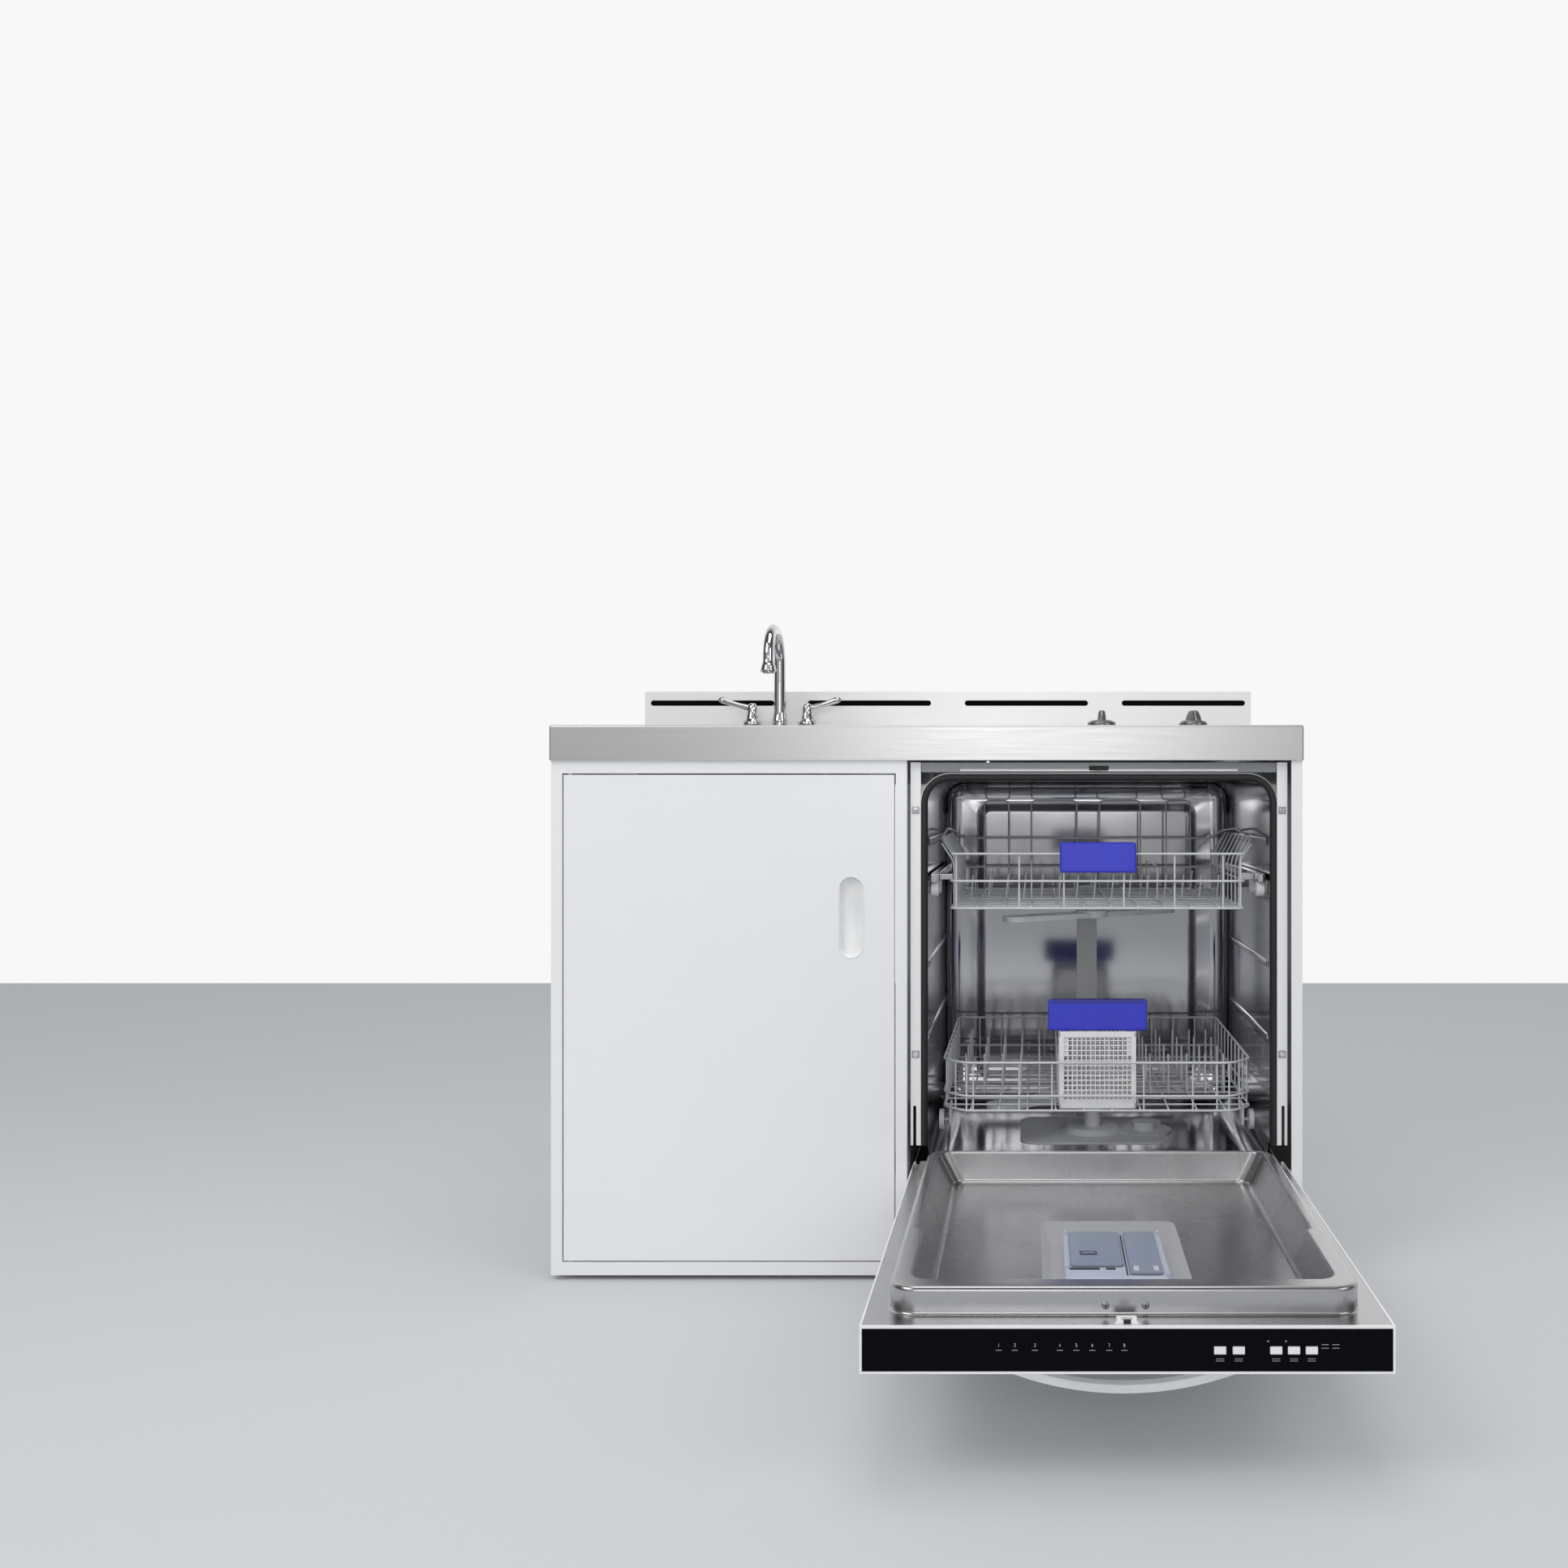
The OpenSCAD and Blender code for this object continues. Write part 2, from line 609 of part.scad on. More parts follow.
// Swivelling gooseneck, lying in the YZ plane, with the flared aerator at its mouth
module spout() {
    top = worktop_h + spout_h - spout_r - neck_r;
    z0 = worktop_h + spout_seat;
    color("silver") translate([sink_x, faucet_y, 0]) difference() {
        union() {
            translate([0, 0, z0 - spout_stem + 1]) cylinder(h = spout_stem, r = stem_r);
            translate([0, 0, z0 + seat]) cylinder(h = 20, r1 = spout_r + 4, r2 = spout_r - 1);
            translate([0, 0, z0 + seat]) cylinder(h = top - z0 - seat, r = spout_r);
            translate([0, -neck_r, top]) rotate([0, 0, 90]) rotate([90, 0, 0])
                rotate_extrude(angle = 180) translate([neck_r, 0]) circle(spout_r);
            translate([0, -2*neck_r, worktop_h + mouth_h + 18])
                cylinder(h = top - worktop_h - mouth_h - 18, r = spout_r);
            translate([0, -2*neck_r, worktop_h + mouth_h]) rotate_extrude() polygon([
                [0, 0], [11, 0], [spout_r + 4, 6], [spout_r + 3, 12], [spout_r + 1, 18], [0, 18]]);
        }
        translate([0, -2*neck_r, worktop_h + mouth_h - over]) cylinder(h = 14, r = 8);
    }
}

// Lever handle on its valve's stem, pointing outward; s is -1 on the left and +1 on the right
module lever(s) {
    z0 = worktop_h + base_h + seat;
    rise = 20;
    tilt = asin(rise/lever_l);
    color("silver") translate([sink_x + s*valve_x, faucet_y, 0]) difference() {
        union() {
            translate([0, 0, z0]) rotate_extrude() polygon([
                [0, 0], [valve_r - 7, 0], [valve_r - 6, 2], [valve_r - 8, 5], [valve_r - 8, 16],
                [valve_r - 9, 22], [5, hub_h], [0, hub_h]]);
            translate([0, 0, z0 + 15]) rotate([0, s*(90 - tilt), 0]) {
                cylinder(h = lever_l - 8, r1 = 5, r2 = 6.5);
                translate([0, 0, lever_l - 8]) sphere(6.5);
            }
        }
        translate([0, 0, z0 - over]) cylinder(h = stem_l + over + seat, r = stem_r + run_c);
    }
}
module hot_handle() { lever(-1); }
module cold_handle() { lever(1); }

// ---------- Hob ----------

// Drip bowls with their trim rings; a slot at the back lets the coil's terminals through
module drip_bowls() {
    color("silver") for (i = [0, 1]) translate([coil_x[i], hob_y, 0]) difference() {
        rim = coil_r[i] + trim_w;
        cut = coil_r[i] + trim_w - 6;
        rotate_extrude() polygon([
            [18, worktop_h - drip_depth], [cut - 20, worktop_h - drip_depth],
            [cut - 2.5, worktop_h - 8], [cut - 2.5, worktop_h + 1], [rim, worktop_h],
            [rim, worktop_h + 1], [cut, worktop_h + 3], [cut - 4, worktop_h + 1],
            [cut - 4, worktop_h - 7], [cut - 21, worktop_h - drip_depth + 1.5],
            [18, worktop_h - drip_depth + 1.5]]);
        block([-terminal_x - 8, 20, leg_z - coil_tube_r - 5],
              [terminal_x + 8, cut + over, leg_z + coil_tube_r + 6]);
    }
}

// Sheet box under the hob, which keeps its heat and wiring off the dishwasher
module hob_underbox() {
    c = trim_w + underbox_c;
    lo = [coil_x[0] - big_coil_r - c, knob_y - underbox_front, apron_z + 6];
    hi = [coil_x[1] + small_coil_r + c, hob_y + big_coil_r + trim_w + underbox_back, deck_z];
    color("gray") difference() {
        block(lo, hi);
        block(lo + [skin_t, skin_t, skin_t], hi + [-skin_t, -skin_t, over]);
    }
}

// A heat switch under each knob, and the socket that each coil plugs into
module hob_switchgear() {
    color("dimgray") for (i = [0, 1]) {
        difference() {
            union() {
                translate([knob_x[i] - switch_box.x/2, knob_y - switch_box.y/2,
                           deck_z - switch_box.z - 2]) cube(switch_box);
                rod([knob_x[i], knob_y, deck_z - 3], [0, 0, 1], 3, 9);
            }
            rod([knob_x[i], knob_y, deck_z - shaft_deep], [0, 0, 1], shaft_deep + over,
                shaft_r + run_c);
        }
        difference() {
            y = socket_y(i);
            union() {
                block([coil_x[i] - terminal_x - 12, y, leg_z - 12],
                      [coil_x[i] + terminal_x + 12, y + 22, leg_z + 7]);
                block([coil_x[i] - terminal_x - 12, y, leg_z - 12],
                      [coil_x[i] + terminal_x + 12, y + 12, deck_z]);
            }
            block([coil_x[i] - terminal_x - 6, y - over, leg_z - coil_tube_r - 2.5],
                  [coil_x[i] + terminal_x + 6, y + 15, leg_z + coil_tube_r + 2.5]);
        }
    }
}

// A spiral heating coil with its spider, centre disc and two terminals
module coil(i) {
    turns = 4;
    start = 32;
    step = (coil_r[i] - coil_tube_r - start)/(2*turns);
    bar_h = 9;
    color("dimgray") translate([coil_x[i], hob_y, 0]) {
        for (k = [0:2*turns - 1])
            translate([k % 2 == 0 ? 0 : step, 0, coil_z]) rotate(k % 2 == 0 ? 0 : 180)
                rotate_extrude(angle = 180) translate([start + step*(k + 0.5), 0])
                    circle(coil_tube_r, $fn = 24);
    }
    color("silver") translate([coil_x[i], hob_y, 0]) {
        for (a = [90, 210, 330]) rotate(a) {
            block([10, -1, coil_z - coil_tube_r - bar_h], [coil_r[i] - 4, 1, coil_z - 2]);
            block([coil_r[i] - 10, -1, worktop_h + 3 + seat],
                  [coil_r[i] + trim_w - 4, 1, coil_z - 2]);
        }
        translate([0, 0, coil_z - 3]) cylinder(h = 3, r = 20);
        translate([0, 0, coil_z - coil_tube_r - bar_h])
            cylinder(h = coil_tube_r + bar_h - 2, r = 12);
    }
    color("dimgray") for (s = [-1, 1]) {
        rod([coil_x[i] + s*terminal_x, hob_y + 24, leg_z], [0, 1, 0],
            socket_y(i) + 12 - hob_y - 24, coil_tube_r);
        rod([coil_x[i] + s*terminal_x, hob_y + 24 + coil_tube_r, leg_z], [0, 0, 1],
            coil_z - leg_z, coil_tube_r);
    }
    color("dimgray") rod([coil_x[i] - terminal_x, socket_y(i) + 12 - coil_tube_r, leg_z],
                         [1, 0, 0], 2*terminal_x, 2);
    color("silver") block([coil_x[i] - terminal_x, hob_y + 24, coil_z - coil_tube_r - bar_h],
                          [coil_x[i] + terminal_x, hob_y + 30, coil_z - coil_tube_r]);
}
module left_coil() { coil(0); }
module right_coil() { coil(1); }

// A knob with a domed skirt and a raised grip, on its own shaft
module knob(i, turn) {
    grip_t = 9;
    z0 = worktop_h + 2;
    color("gray") translate([knob_x[i], knob_y, 0]) {
        translate([0, 0, z0]) rotate_extrude() polygon([
            [0, 0], [knob_r, 0], [knob_r, 4], [knob_r - 2, 7], [knob_r - 7, 10],
            [knob_r - 14, 12], [0, 12.5]]);
        rotate(turn) difference() {
            block([-grip_t/2, -knob_r + 3, z0 + 2], [grip_t/2, knob_r - 3, z0 + knob_h - 2]);
            for (s = [-1, 1]) translate([0, s*(knob_r + 3), z0 + knob_h + 7])
                rotate([0, 90, 0]) cylinder(h = 2*grip_t, r = knob_r - 5, center = true);
        }
        translate([0, 0, deck_z - shaft_deep + 1]) cylinder(h = z0 - deck_z + shaft_deep,
                                                          r = shaft_r);
    }
}
module left_knob() { knob(0, 0); }
module right_knob() { knob(1, 25); }

// ---------- Cabinet door ----------

// Double-skinned inset door, bored at its left corners for the hinge pins
module cabinet_door() {
    lo = [cab_x0 + door_gap, frame_y, opening_z0 + door_gap];
    hi = [cab_x1 - door_gap, frame_y + frame_t, opening_z1 - door_gap];
    block_w = 2*(hinge_in.x - skin_t);
    color("white") difference() {
        union() {
            difference() {
                block(lo, hi);
                block(lo + [skin_t, skin_t, skin_t], hi - [skin_t, skin_t, skin_t]);
            }
            for (z = [lo.z, hi.z - hinge_deep - 6])
                block([lo.x + 0.5, lo.y + 0.5, z], [lo.x + block_w, hi.y - 0.5,
                      z + hinge_deep + 6]);
        }
        for (z = [lo.z - over, hi.z - hinge_deep - 1])
            rod([hinge_x, hinge_y, z], [0, 0, 1], hinge_deep + over + 1, cab_pin_r + run_c);
        pull_shape(frame_y - over, pull_depth + 2*over, seat);
    }
}

// The pull's upright oblong, grown by a margin and run back from y0 by a depth
module pull_shape(y0, depth, grow) {
    r = pull_w/2 + grow;
    for (s = [-1, 1]) rod([pull_x, y0, pull_z + s*(pull_h - pull_w)/2], [0, 1, 0], depth, r);
    block([pull_x - r, y0, pull_z - (pull_h - pull_w)/2],
          [pull_x + r, y0 + depth, pull_z + (pull_h - pull_w)/2]);
}

// Moulded cup that fits in the door's oblong hole
module recess_pull() {
    wall = 1.5;
    color("whitesmoke") difference() {
        union() {
            pull_shape(frame_y - 0.8, pull_depth + 0.8, 0);
            pull_shape(frame_y - 0.8, 0.8, 2);
        }
        pull_shape(frame_y - over, pull_depth + over - wall, -wall);
    }
}

// ---------- Dishwasher, fixed part ----------

// Rounded upright outline of the tub, grown by a margin, run from y0 to y1
module tub_run(y0, y1, grow) {
    r = gasket_r;
    translate([dw_x, y1, 0]) rotate([90, 0, 0]) linear_extrude(y1 - y0) hull()
        for (x = [-1, 1], z = [tub_z0 + r, tub_z1 - r]) translate([x*(tub_x - r), z])
            circle(r + grow, $fn = 32);
}

// Open-fronted steel tub with its front flange, the side tracks and the rollers' axles
module tub() {
    color("silver") {
        difference() {
            union() {
                tub_run(tub_y0, tub_y1 + tub_t, tub_t);
                intersection() {
                    union() {
                        tub_run(flange_y, tub_y0 + over, tub_t);
                        tub_run(flange_y, flange_y + strip_t, gasket_w);
                    }
                    block([dw_x - dw_half, flange_y, strip_z0], [dw_x + dw_half, 0, head_z]);
                }
                block([dw_x - strip_in + seat, flange_y, head_z],
                      [dw_x + strip_in - seat, flange_y + strip_t, strip_z1]);
            }
            tub_run(flange_y - over, tub_y1, 0);
            rod([dw_x + sump_off, sump_y, tub_z0 - tub_t - over], [0, 0, 1], tub_t + 2*over,
                sump_r);
        }
        for (s = [0, 1]) translate([dw_x, 0, 0]) mirror([s, 0, 0]) {
            block([tub_x - track_w, rack_y0, track_z - 6], [tub_x - hair, tub_y1 - hair, track_z]);
            for (y = roller_y)
                rod([tub_x - 4 - roller_w, y, roller_z], [1, 0, 0], 4 + roller_w - hair, axle_r);
        }
    }
}

// Seal round the sides and top of the opening
module tub_gasket() {
    color("black") intersection() {
        difference() {
            tub_run(inner_y + seat, flange_y, gasket_w - 2);
            tub_run(inner_y, flange_y + over, -2);
        }
        block([dw_x - dw_half, inner_y, strip_z0], [dw_x + dw_half, flange_y + over, head_z]);
    }
}

// White strips at each side, folded back, with screw holes and a slot at the bottom
module mounting_strips() {
    color("white") for (s = [0, 1]) translate([dw_x, 0, 0]) mirror([s, 0, 0]) difference() {
        union() {
            block([strip_in, strip_y, strip_z0], [dw_half, strip_y + strip_t, strip_z1]);
            block([strip_in, strip_y, strip_z0], [strip_in + 1.5, flange_y, strip_z1]);
            block([dw_half - strip_t, strip_y, strip_z0], [dw_half, strip_y + 40, strip_z1]);
        }
        for (z = screw_z)
            rod([screw_x, strip_y - over, z], [0, 1, 0], strip_t + 2*over, screw_r + 0.2);
        block([screw_x - 1, strip_y - over, strip_z0 - over],
              [screw_x + 4, strip_y + strip_t + over, strip_z0 + 64]);
    }
}

// Pan-head screws of the strips
module strip_screws() {
    color("silver") for (s = [-1, 1], z = screw_z) {
        rod([dw_x + s*screw_x, strip_y - strip_head, z], [0, 1, 0], strip_head, 4.5);
        rod([dw_x + s*screw_x, strip_y - over, z], [0, 1, 0], 14, screw_r);
    }
}

// Tray under the tub; its front wall is the toe panel
module chassis_base() {
    color("gray") difference() {
        block([dw_x - dw_half, chassis_y0, chassis_z0], [dw_x + dw_half, tub_y1, chassis_z1]);
        block([dw_x - dw_half + skin_t, chassis_y0 + skin_t, chassis_z0 + skin_t],
              [dw_x + dw_half - skin_t, tub_y1 - skin_t, chassis_z1 + over]);
        for (s = [0, 1]) translate([dw_x, 0, 0]) mirror([s, 0, 0])
            block([bracket_x - bracket_t - 0.2, chassis_y0 - over, pivot_z - bracket_r - 0.2],
                  [bracket_x + 0.2, chassis_y0 + skin_t + over, chassis_z1 + over]);
        for (x = [inlet_x, outlet_x])
            rod([dw_x + x, tub_y1 - 5, port_z], [0, 1, 0], 10, inlet_r + 2);
    }
}

// Sump cup with its filter and the post that carries the lower spray arm
module sump_filter() {
    color("lightgray") {
        translate([dw_x, sump_y, 0]) {
            translate([0, 0, tub_z0]) plate(sump_plate.x, sump_plate.y, sump_plate.z, 30);
            translate([0, 0, tub_z0]) cylinder(h = 10, r1 = 62, r2 = 46);
            translate([0, 0, tub_z0]) cylinder(h = arm_hub_low - tub_z0 - seat, r = 15);
            translate([0, 0, tub_z0]) cylinder(h = arm_hub_low - tub_z0 + 14, r = post_r);
        }
        translate([dw_x + sump_off, sump_y, 0]) {
            translate([0, 0, tub_z0 - 50]) cylinder(h = 50, r = sump_r - seat);
            translate([0, 0, tub_z0]) cylinder(h = 3, r = sump_r + 8);
            translate([0, 0, tub_z0 + 3]) cylinder(h = 14, r = 20);
        }
    }
}

// Circulation pump, drain pump and the two rear ports
module pump_unit() {
    z = chassis_z0 + skin_t + 48;
    color("dimgray") {
        rod([dw_x - 150, sump_y, z], [1, 0, 0], 110, 42);
        rod([dw_x - 40, sump_y, z], [1, 0, 0], 40, 30);
        block([dw_x, sump_y - 40, chassis_z0 + skin_t], [dw_x + 60, sump_y + 40, z + 20]);
        rod([dw_x + 60, sump_y, z - 10], [1, 0, 0], 60, 24);
    }
    color("whitesmoke") for (p = [[inlet_x, inlet_r], [outlet_x, outlet_r]]) {
        rod([dw_x + p[0], tub_y1 - 40, port_z], [0, 1, 0], 40 + 2*over, p[1] - 2);
        rod([dw_x + p[0], tub_y1 + over, port_z], [0, 1, 0], port_l, p[1]);
        block([dw_x + p[0] - port_block.x/2, tub_y1 - port_in - port_block.y,
               chassis_z0 + skin_t],
              [dw_x + p[0] + port_block.x/2, tub_y1 - port_in, port_z + port_block.x/2]);
    }
}

// Duct up the back wall of the tub, with its outlet to the upper arm
module water_riser() {
    color("lightgray") {
        block([dw_x - riser.x/2, tub_y1 - riser.y, tub_z0 + 4],
              [dw_x + riser.x/2, tub_y1, feed_z + riser.x/2]);
        rod([dw_x, tub_y1 - riser.y - nozzle_l, feed_z], [0, 1, 0], nozzle_l + 2, feed_half);
    }
}

// Brackets on the chassis, each with the pin that a hinge arm turns on
module door_hinge_brackets() {
    h = bracket_r;
    color("gray") for (s = [0, 1]) translate([dw_x, 0, 0]) mirror([s, 0, 0]) {
        rod([bracket_x - bracket_t, pivot_y, pivot_z], [1, 0, 0], bracket_t, h);
        block([bracket_x - bracket_t, pivot_y, pivot_z - h],
              [bracket_x, chassis_y0 + 40, chassis_z1]);
        rod([bracket_x - bracket_t, pivot_y, pivot_z], [1, 0, 0],
            bracket_t + arm_t + seat - 0.2, pin_r);
        block([bracket_x - bracket_t, chassis_y0 + skin_t, pivot_z - h],
              [dw_half - skin_t, chassis_y0 + 40, chassis_z1]);
    }
}

// Plate on the tub's flange with the hook that enters the door's latch
module latch_strike() {
    color("black") {
        block([dw_x - 15, flange_y - 1.5, head_z + 1], [dw_x + 15, flange_y, head_z + 9]);
        block([dw_x - 5, inner_y + 0.5, strike_z - 2.5], [dw_x + 5, flange_y, strike_z + 2.5]);
    }
}

// A pair of rollers on one axis, on which the upper rack's rails run
module roller_pair(y) {
    color("whitesmoke") for (s = [0, 1]) translate([dw_x, 0, 0]) mirror([s, 0, 0]) difference() {
        rod([tub_x - 4 - roller_w, y, roller_z], [1, 0, 0], roller_w, roller_r);
        rod([tub_x - 5 - roller_w, y, roller_z], [1, 0, 0], roller_w + 2, axle_r + run_c);
    }
}
module rail_rollers_front() { roller_pair(roller_y[0]); }
module rail_rollers_rear() { roller_pair(roller_y[1]); }

// ---------- Dishwasher, door ----------

// Cutters where the hinge brackets pass through the door's heel
module bracket_notches(z0) {
    for (s = [0, 1]) translate([dw_x, 0, 0]) mirror([s, 0, 0])
        block([bracket_x - bracket_t - notch_c, pivot_y - bracket_r - notch_c, z0],
              [bracket_x + 0.5*seat, door_y1 + over, door_z1 + over]);
}

module button_cutters(grow) {
    for (x = button_x)
        translate([dw_x + x, door_y0, (door_z0 + door_z1)/2])
            block([-button.x/2 - grow, -over, -button.y/2 - grow],
                  [button.x/2 + grow, 20, button.y/2 + grow]);
}

// Outer pan of the door; its handle end is recessed for the fascia
module door_outer_panel() {
    w = dw_door_w/2;
    top = door_z1 - door_skin;
    color("white") difference() {
        block([dw_x - w, door_y0, door_z0], [dw_x + w, door_y1, top]);
        block([dw_x - w + door_skin, door_y0 + fascia_t + door_skin, door_z0 + door_skin],
              [dw_x + w - door_skin, door_y1 - door_skin, top + over]);
        block([dw_x - w + border, door_y0 - over, door_z0 + border],
              [dw_x + w - border, door_y0 + fascia_t, door_z1 - border]);
        bracket_notches(pivot_z - bracket_r - notch_c);
        intersection() {
            button_cutters(button_c);
            block([dw_x - w, door_y0 - over, door_z0],
                  [dw_x + w, door_y0 + fascia_t + door_skin + over, door_z1]);
        }
    }
}

// Pressed liner: a flat flange, a raised rim that the racks roll on, and a well
module door_inner_panel() {
    mid = (liner_y0 + liner_y1)/2;
    len = liner_y1 - liner_y0;
    s = door_skin;
    // The rim's outline pulled in by a margin
    module inset(z0, z1, m) {
        translate([dw_x, mid, z0])
            plate(2*(liner_half - m), len - 2*m, z1 - z0, max(liner_r - m, 6));
    }
    color("silver") {
        difference() {
            block([dw_x - dw_door_w/2, door_y0, door_z1 - s],
                  [dw_x + dw_door_w/2, door_y1, door_z1]);
            inset(door_z1 - s - over, door_z1 + over, s);
            bracket_notches(door_z1 - s - over);
        }
        difference() {
            inset(door_z1 - s, track_z, 0);
            inset(door_z1 - s - over, track_z - s, s);
            inset(door_z1 - s - over, track_z + over, rim_w - s/2);
        }
        difference() {
            inset(well_z - s, track_z, rim_w - s);
            inset(well_z, track_z + over, rim_w);
            translate([dw_x - disp_w/2 - seat, disp_y - disp_l/2 - seat, well_z - s - over])
                cube([disp_w + 2*seat, disp_l + 2*seat, s + 2*over]);
        }
    }
}

module control_fascia() {
    color("black") difference() {
        block([dw_x - dw_door_w/2 + border + 0.2, door_y0, door_z0 + border + 0.2],
              [dw_x + dw_door_w/2 - border - 0.2, door_y0 + fascia_t, door_z1 - border - 0.2]);
        button_cutters(button_c);
    }
}

// Bowed handle on the door's outer face
module bow_handle() {
    sag = handle_drop - handle_t;
    r = (handle_half*handle_half + sag*sag)/(2*sag);
    color("white") intersection() {
        translate([dw_x, handle_y - handle_wide/2, door_z0 - sag + r]) rotate([-90, 0, 0])
            difference() {
                cylinder(h = handle_wide, r = r + handle_t, $fn = 200);
                translate([0, 0, -over]) cylinder(h = handle_wide + 2*over, r = r, $fn = 200);
            }
        block([dw_x - r, handle_y - handle_wide, door_z0 - handle_drop - over],
              [dw_x + r, handle_y + handle_wide, door_z0]);
    }
}

// Dispenser with its detergent chamber, rinse port and the lids' hinge pins
module dispenser_body() {
    color("lightslategray") translate([dw_x, disp_y, 0]) {
        difference() {
            union() {
                block([-disp_w/2, -disp_l/2, well_z - 22], [disp_w/2, disp_l/2, disp_top]);
                block([-disp_w/2 - 5, -disp_l/2 - 5, well_z],
                      [disp_w/2 + 5, disp_l/2 + 5, well_z + 1.5]);
            }
            block([-disp_w/2 + 10, chamber_y[0], well_z - 16],
                  [-disp_w/2 + lid_w[0] - 4, chamber_y[1], disp_top + over]);
            rod([disp_w/2 - lid_w[1]/2, 0, disp_top - 8], [0, 0, 1], 8 + over, 12);
        }
        for (i = [0, 1]) {
            x = (2*i - 1)*lid_hinge_x;
            rod([x, lid_y[i] - 5, lid_hinge_z], [0, 1, 0], lid_end - lid_y[i] + 10, lid_pin_r);
            for (y = [lid_y[i] - 5, lid_end + seat])
                block([x - 2.5, y, disp_top - 1], [x + 2.5, y + 5 - seat, lid_hinge_z + 2.5]);
        }
    }
}

// Lid 0 is hinged at the dispenser's left edge, lid 1 at its right edge
module lid(i) {
    x = (2*i - 1)*lid_hinge_x;
    l = lid_end - lid_y[i];
    color("steelblue") translate([dw_x, disp_y, 0]) difference() {
        union() {
            rod([x, lid_y[i] + seat, lid_hinge_z], [0, 1, 0], l - 2*seat, 2.5);
            block([min(x, x - (2*i - 1)*lid_w[i]), lid_y[i] + seat, lid_hinge_z - 1],
                  [max(x, x - (2*i - 1)*lid_w[i]), lid_end - seat, lid_hinge_z + 2]);
        }
        rod([x, lid_y[i], lid_hinge_z], [0, 1, 0], l, lid_pin_r + run_c);
    }
}
module dispenser_lid() { lid(0); }
module rinse_lid() { lid(1); }

// Steel arms inside the door that turn on the brackets' pins
module door_hinge_arms() {
    color("gray") for (s = [0, 1]) translate([dw_x, 0, 0]) mirror([s, 0, 0]) difference() {
        block([arm_x - arm_t, pivot_y - 70, pivot_z - 12], [arm_x, pivot_y + 14, pivot_z + 14]);
        rod([arm_x - arm_t - over, pivot_y, pivot_z], [1, 0, 0], arm_t + 2*over, pin_r + run_c);
    }
}

// Latch bracket on the door's flange, open in the middle for the strike's hook
module door_latch() {
    color("white") difference() {
        block([dw_x - 13, latch_y[0], door_z1], [dw_x + 13, latch_y[1], door_z1 + latch_h]);
        block([dw_x - 7, latch_y[0] + latch_wall, door_z1 - over],
              [dw_x + 7, latch_y[1] - latch_wall, door_z1 + latch_h + over]);
    }
}

// A push button, flanged inside the door so that it can't fall out
module push_button(i) {
    wall = fascia_t + door_skin;
    color("white") translate([dw_x + button_x[i], door_y0, (door_z0 + door_z1)/2]) {
        block([-button.x/2, -button_proud, -button.y/2], [button.x/2, wall + 4, button.y/2]);
        block([-button.x/2 - 1.2, wall + 0.2, -button.y/2 - 1.2],
              [button.x/2 + 1.2, wall + 2, button.y/2 + 1.2]);
    }
}
module button_1() { push_button(0); }
module button_2() { push_button(1); }
module button_3() { push_button(2); }
module button_4() { push_button(3); }
module button_5() { push_button(4); }

// ---------- Racks ----------

// A flat grid of wires: w by h, with nw and nh spaces
module wire_grid(w, h, nw, nh) {
    for (i = [0:nw]) translate([i*(w - wire)/nw, 0]) square([wire, h]);
    for (j = [0:nh]) translate([0, j*(h - wire)/nh]) square([w, wire]);
}

// The same grid standing, facing the front or the side, from its lowest corner
module grid_front(p, w, h, rows) {
    translate(p + [0, wire, 0]) rotate([90, 0, 0]) linear_extrude(wire)
        wire_grid(w, h, round(w/wire_pitch), rows);
}
module grid_side(p, l, h, rows) {
    translate(p) rotate([90, 0, 90]) linear_extrude(wire)
        wire_grid(l, h, round(l/wire_pitch), rows);
}

// A row of upright tines across the rack
module tines(p, w, h) {
    n = round(w/(0.7*wire_pitch));
    translate(p + [0, wire, 0]) rotate([90, 0, 0]) linear_extrude(wire) {
        square([w, wire]);
        for (i = [0:n]) translate([i*(w - wire)/n, 0]) square([wire, h]);
    }
}

// A rack's outline with its front corners cut off by cham, drawn in by m
module rack_outline(half, len, cham, m) {
    x = half - cham - tan(22.5)*m;
    y = cham + tan(22.5)*m;
    polygon([[-x, m], [x, m], [half - m, y], [half - m, len - m], [m - half, len - m],
             [m - half, y]]);
}

// Open basket of flat wire panels, half wide each side, its front corners cut off by cham
module wire_basket(half, len, z0, z1, cham) {
    base = z0 + wire/2 + hair;
    x = half - cham;
    translate([dw_x, rack_y0, z0 - wire/2]) linear_extrude(wire) {
        intersection() {
            translate([-half, 0])
                wire_grid(2*half, len, round(2*half/wire_pitch), round(len/wire_pitch));
            rack_outline(half, len, cham, wire/2);
        }
        difference() {
            rack_outline(half, len, cham, 0);
            rack_outline(half, len, cham, wire);
        }
    }
    grid_front([dw_x - x, rack_y0, base], 2*x, z1 - base, 2);
    grid_front([dw_x - half, rack_y0 + len - wire, base], 2*half, z1 - base, 2);
    if (cham > 0) for (s = [0, 1]) translate([dw_x, 0, 0]) mirror([s, 0, 0])
        translate([x, rack_y0, base]) rotate(45)
            grid_front([wire + hair, 0, 0], sqrt(2)*cham - wire - hair, z1 - base, 2);
    for (side = [-half, half - wire])
        grid_side([dw_x + side, rack_y0 + cham + wire + hair, base],
                  len - cham - 2*wire - 2*hair, z1 - base, 2);
}

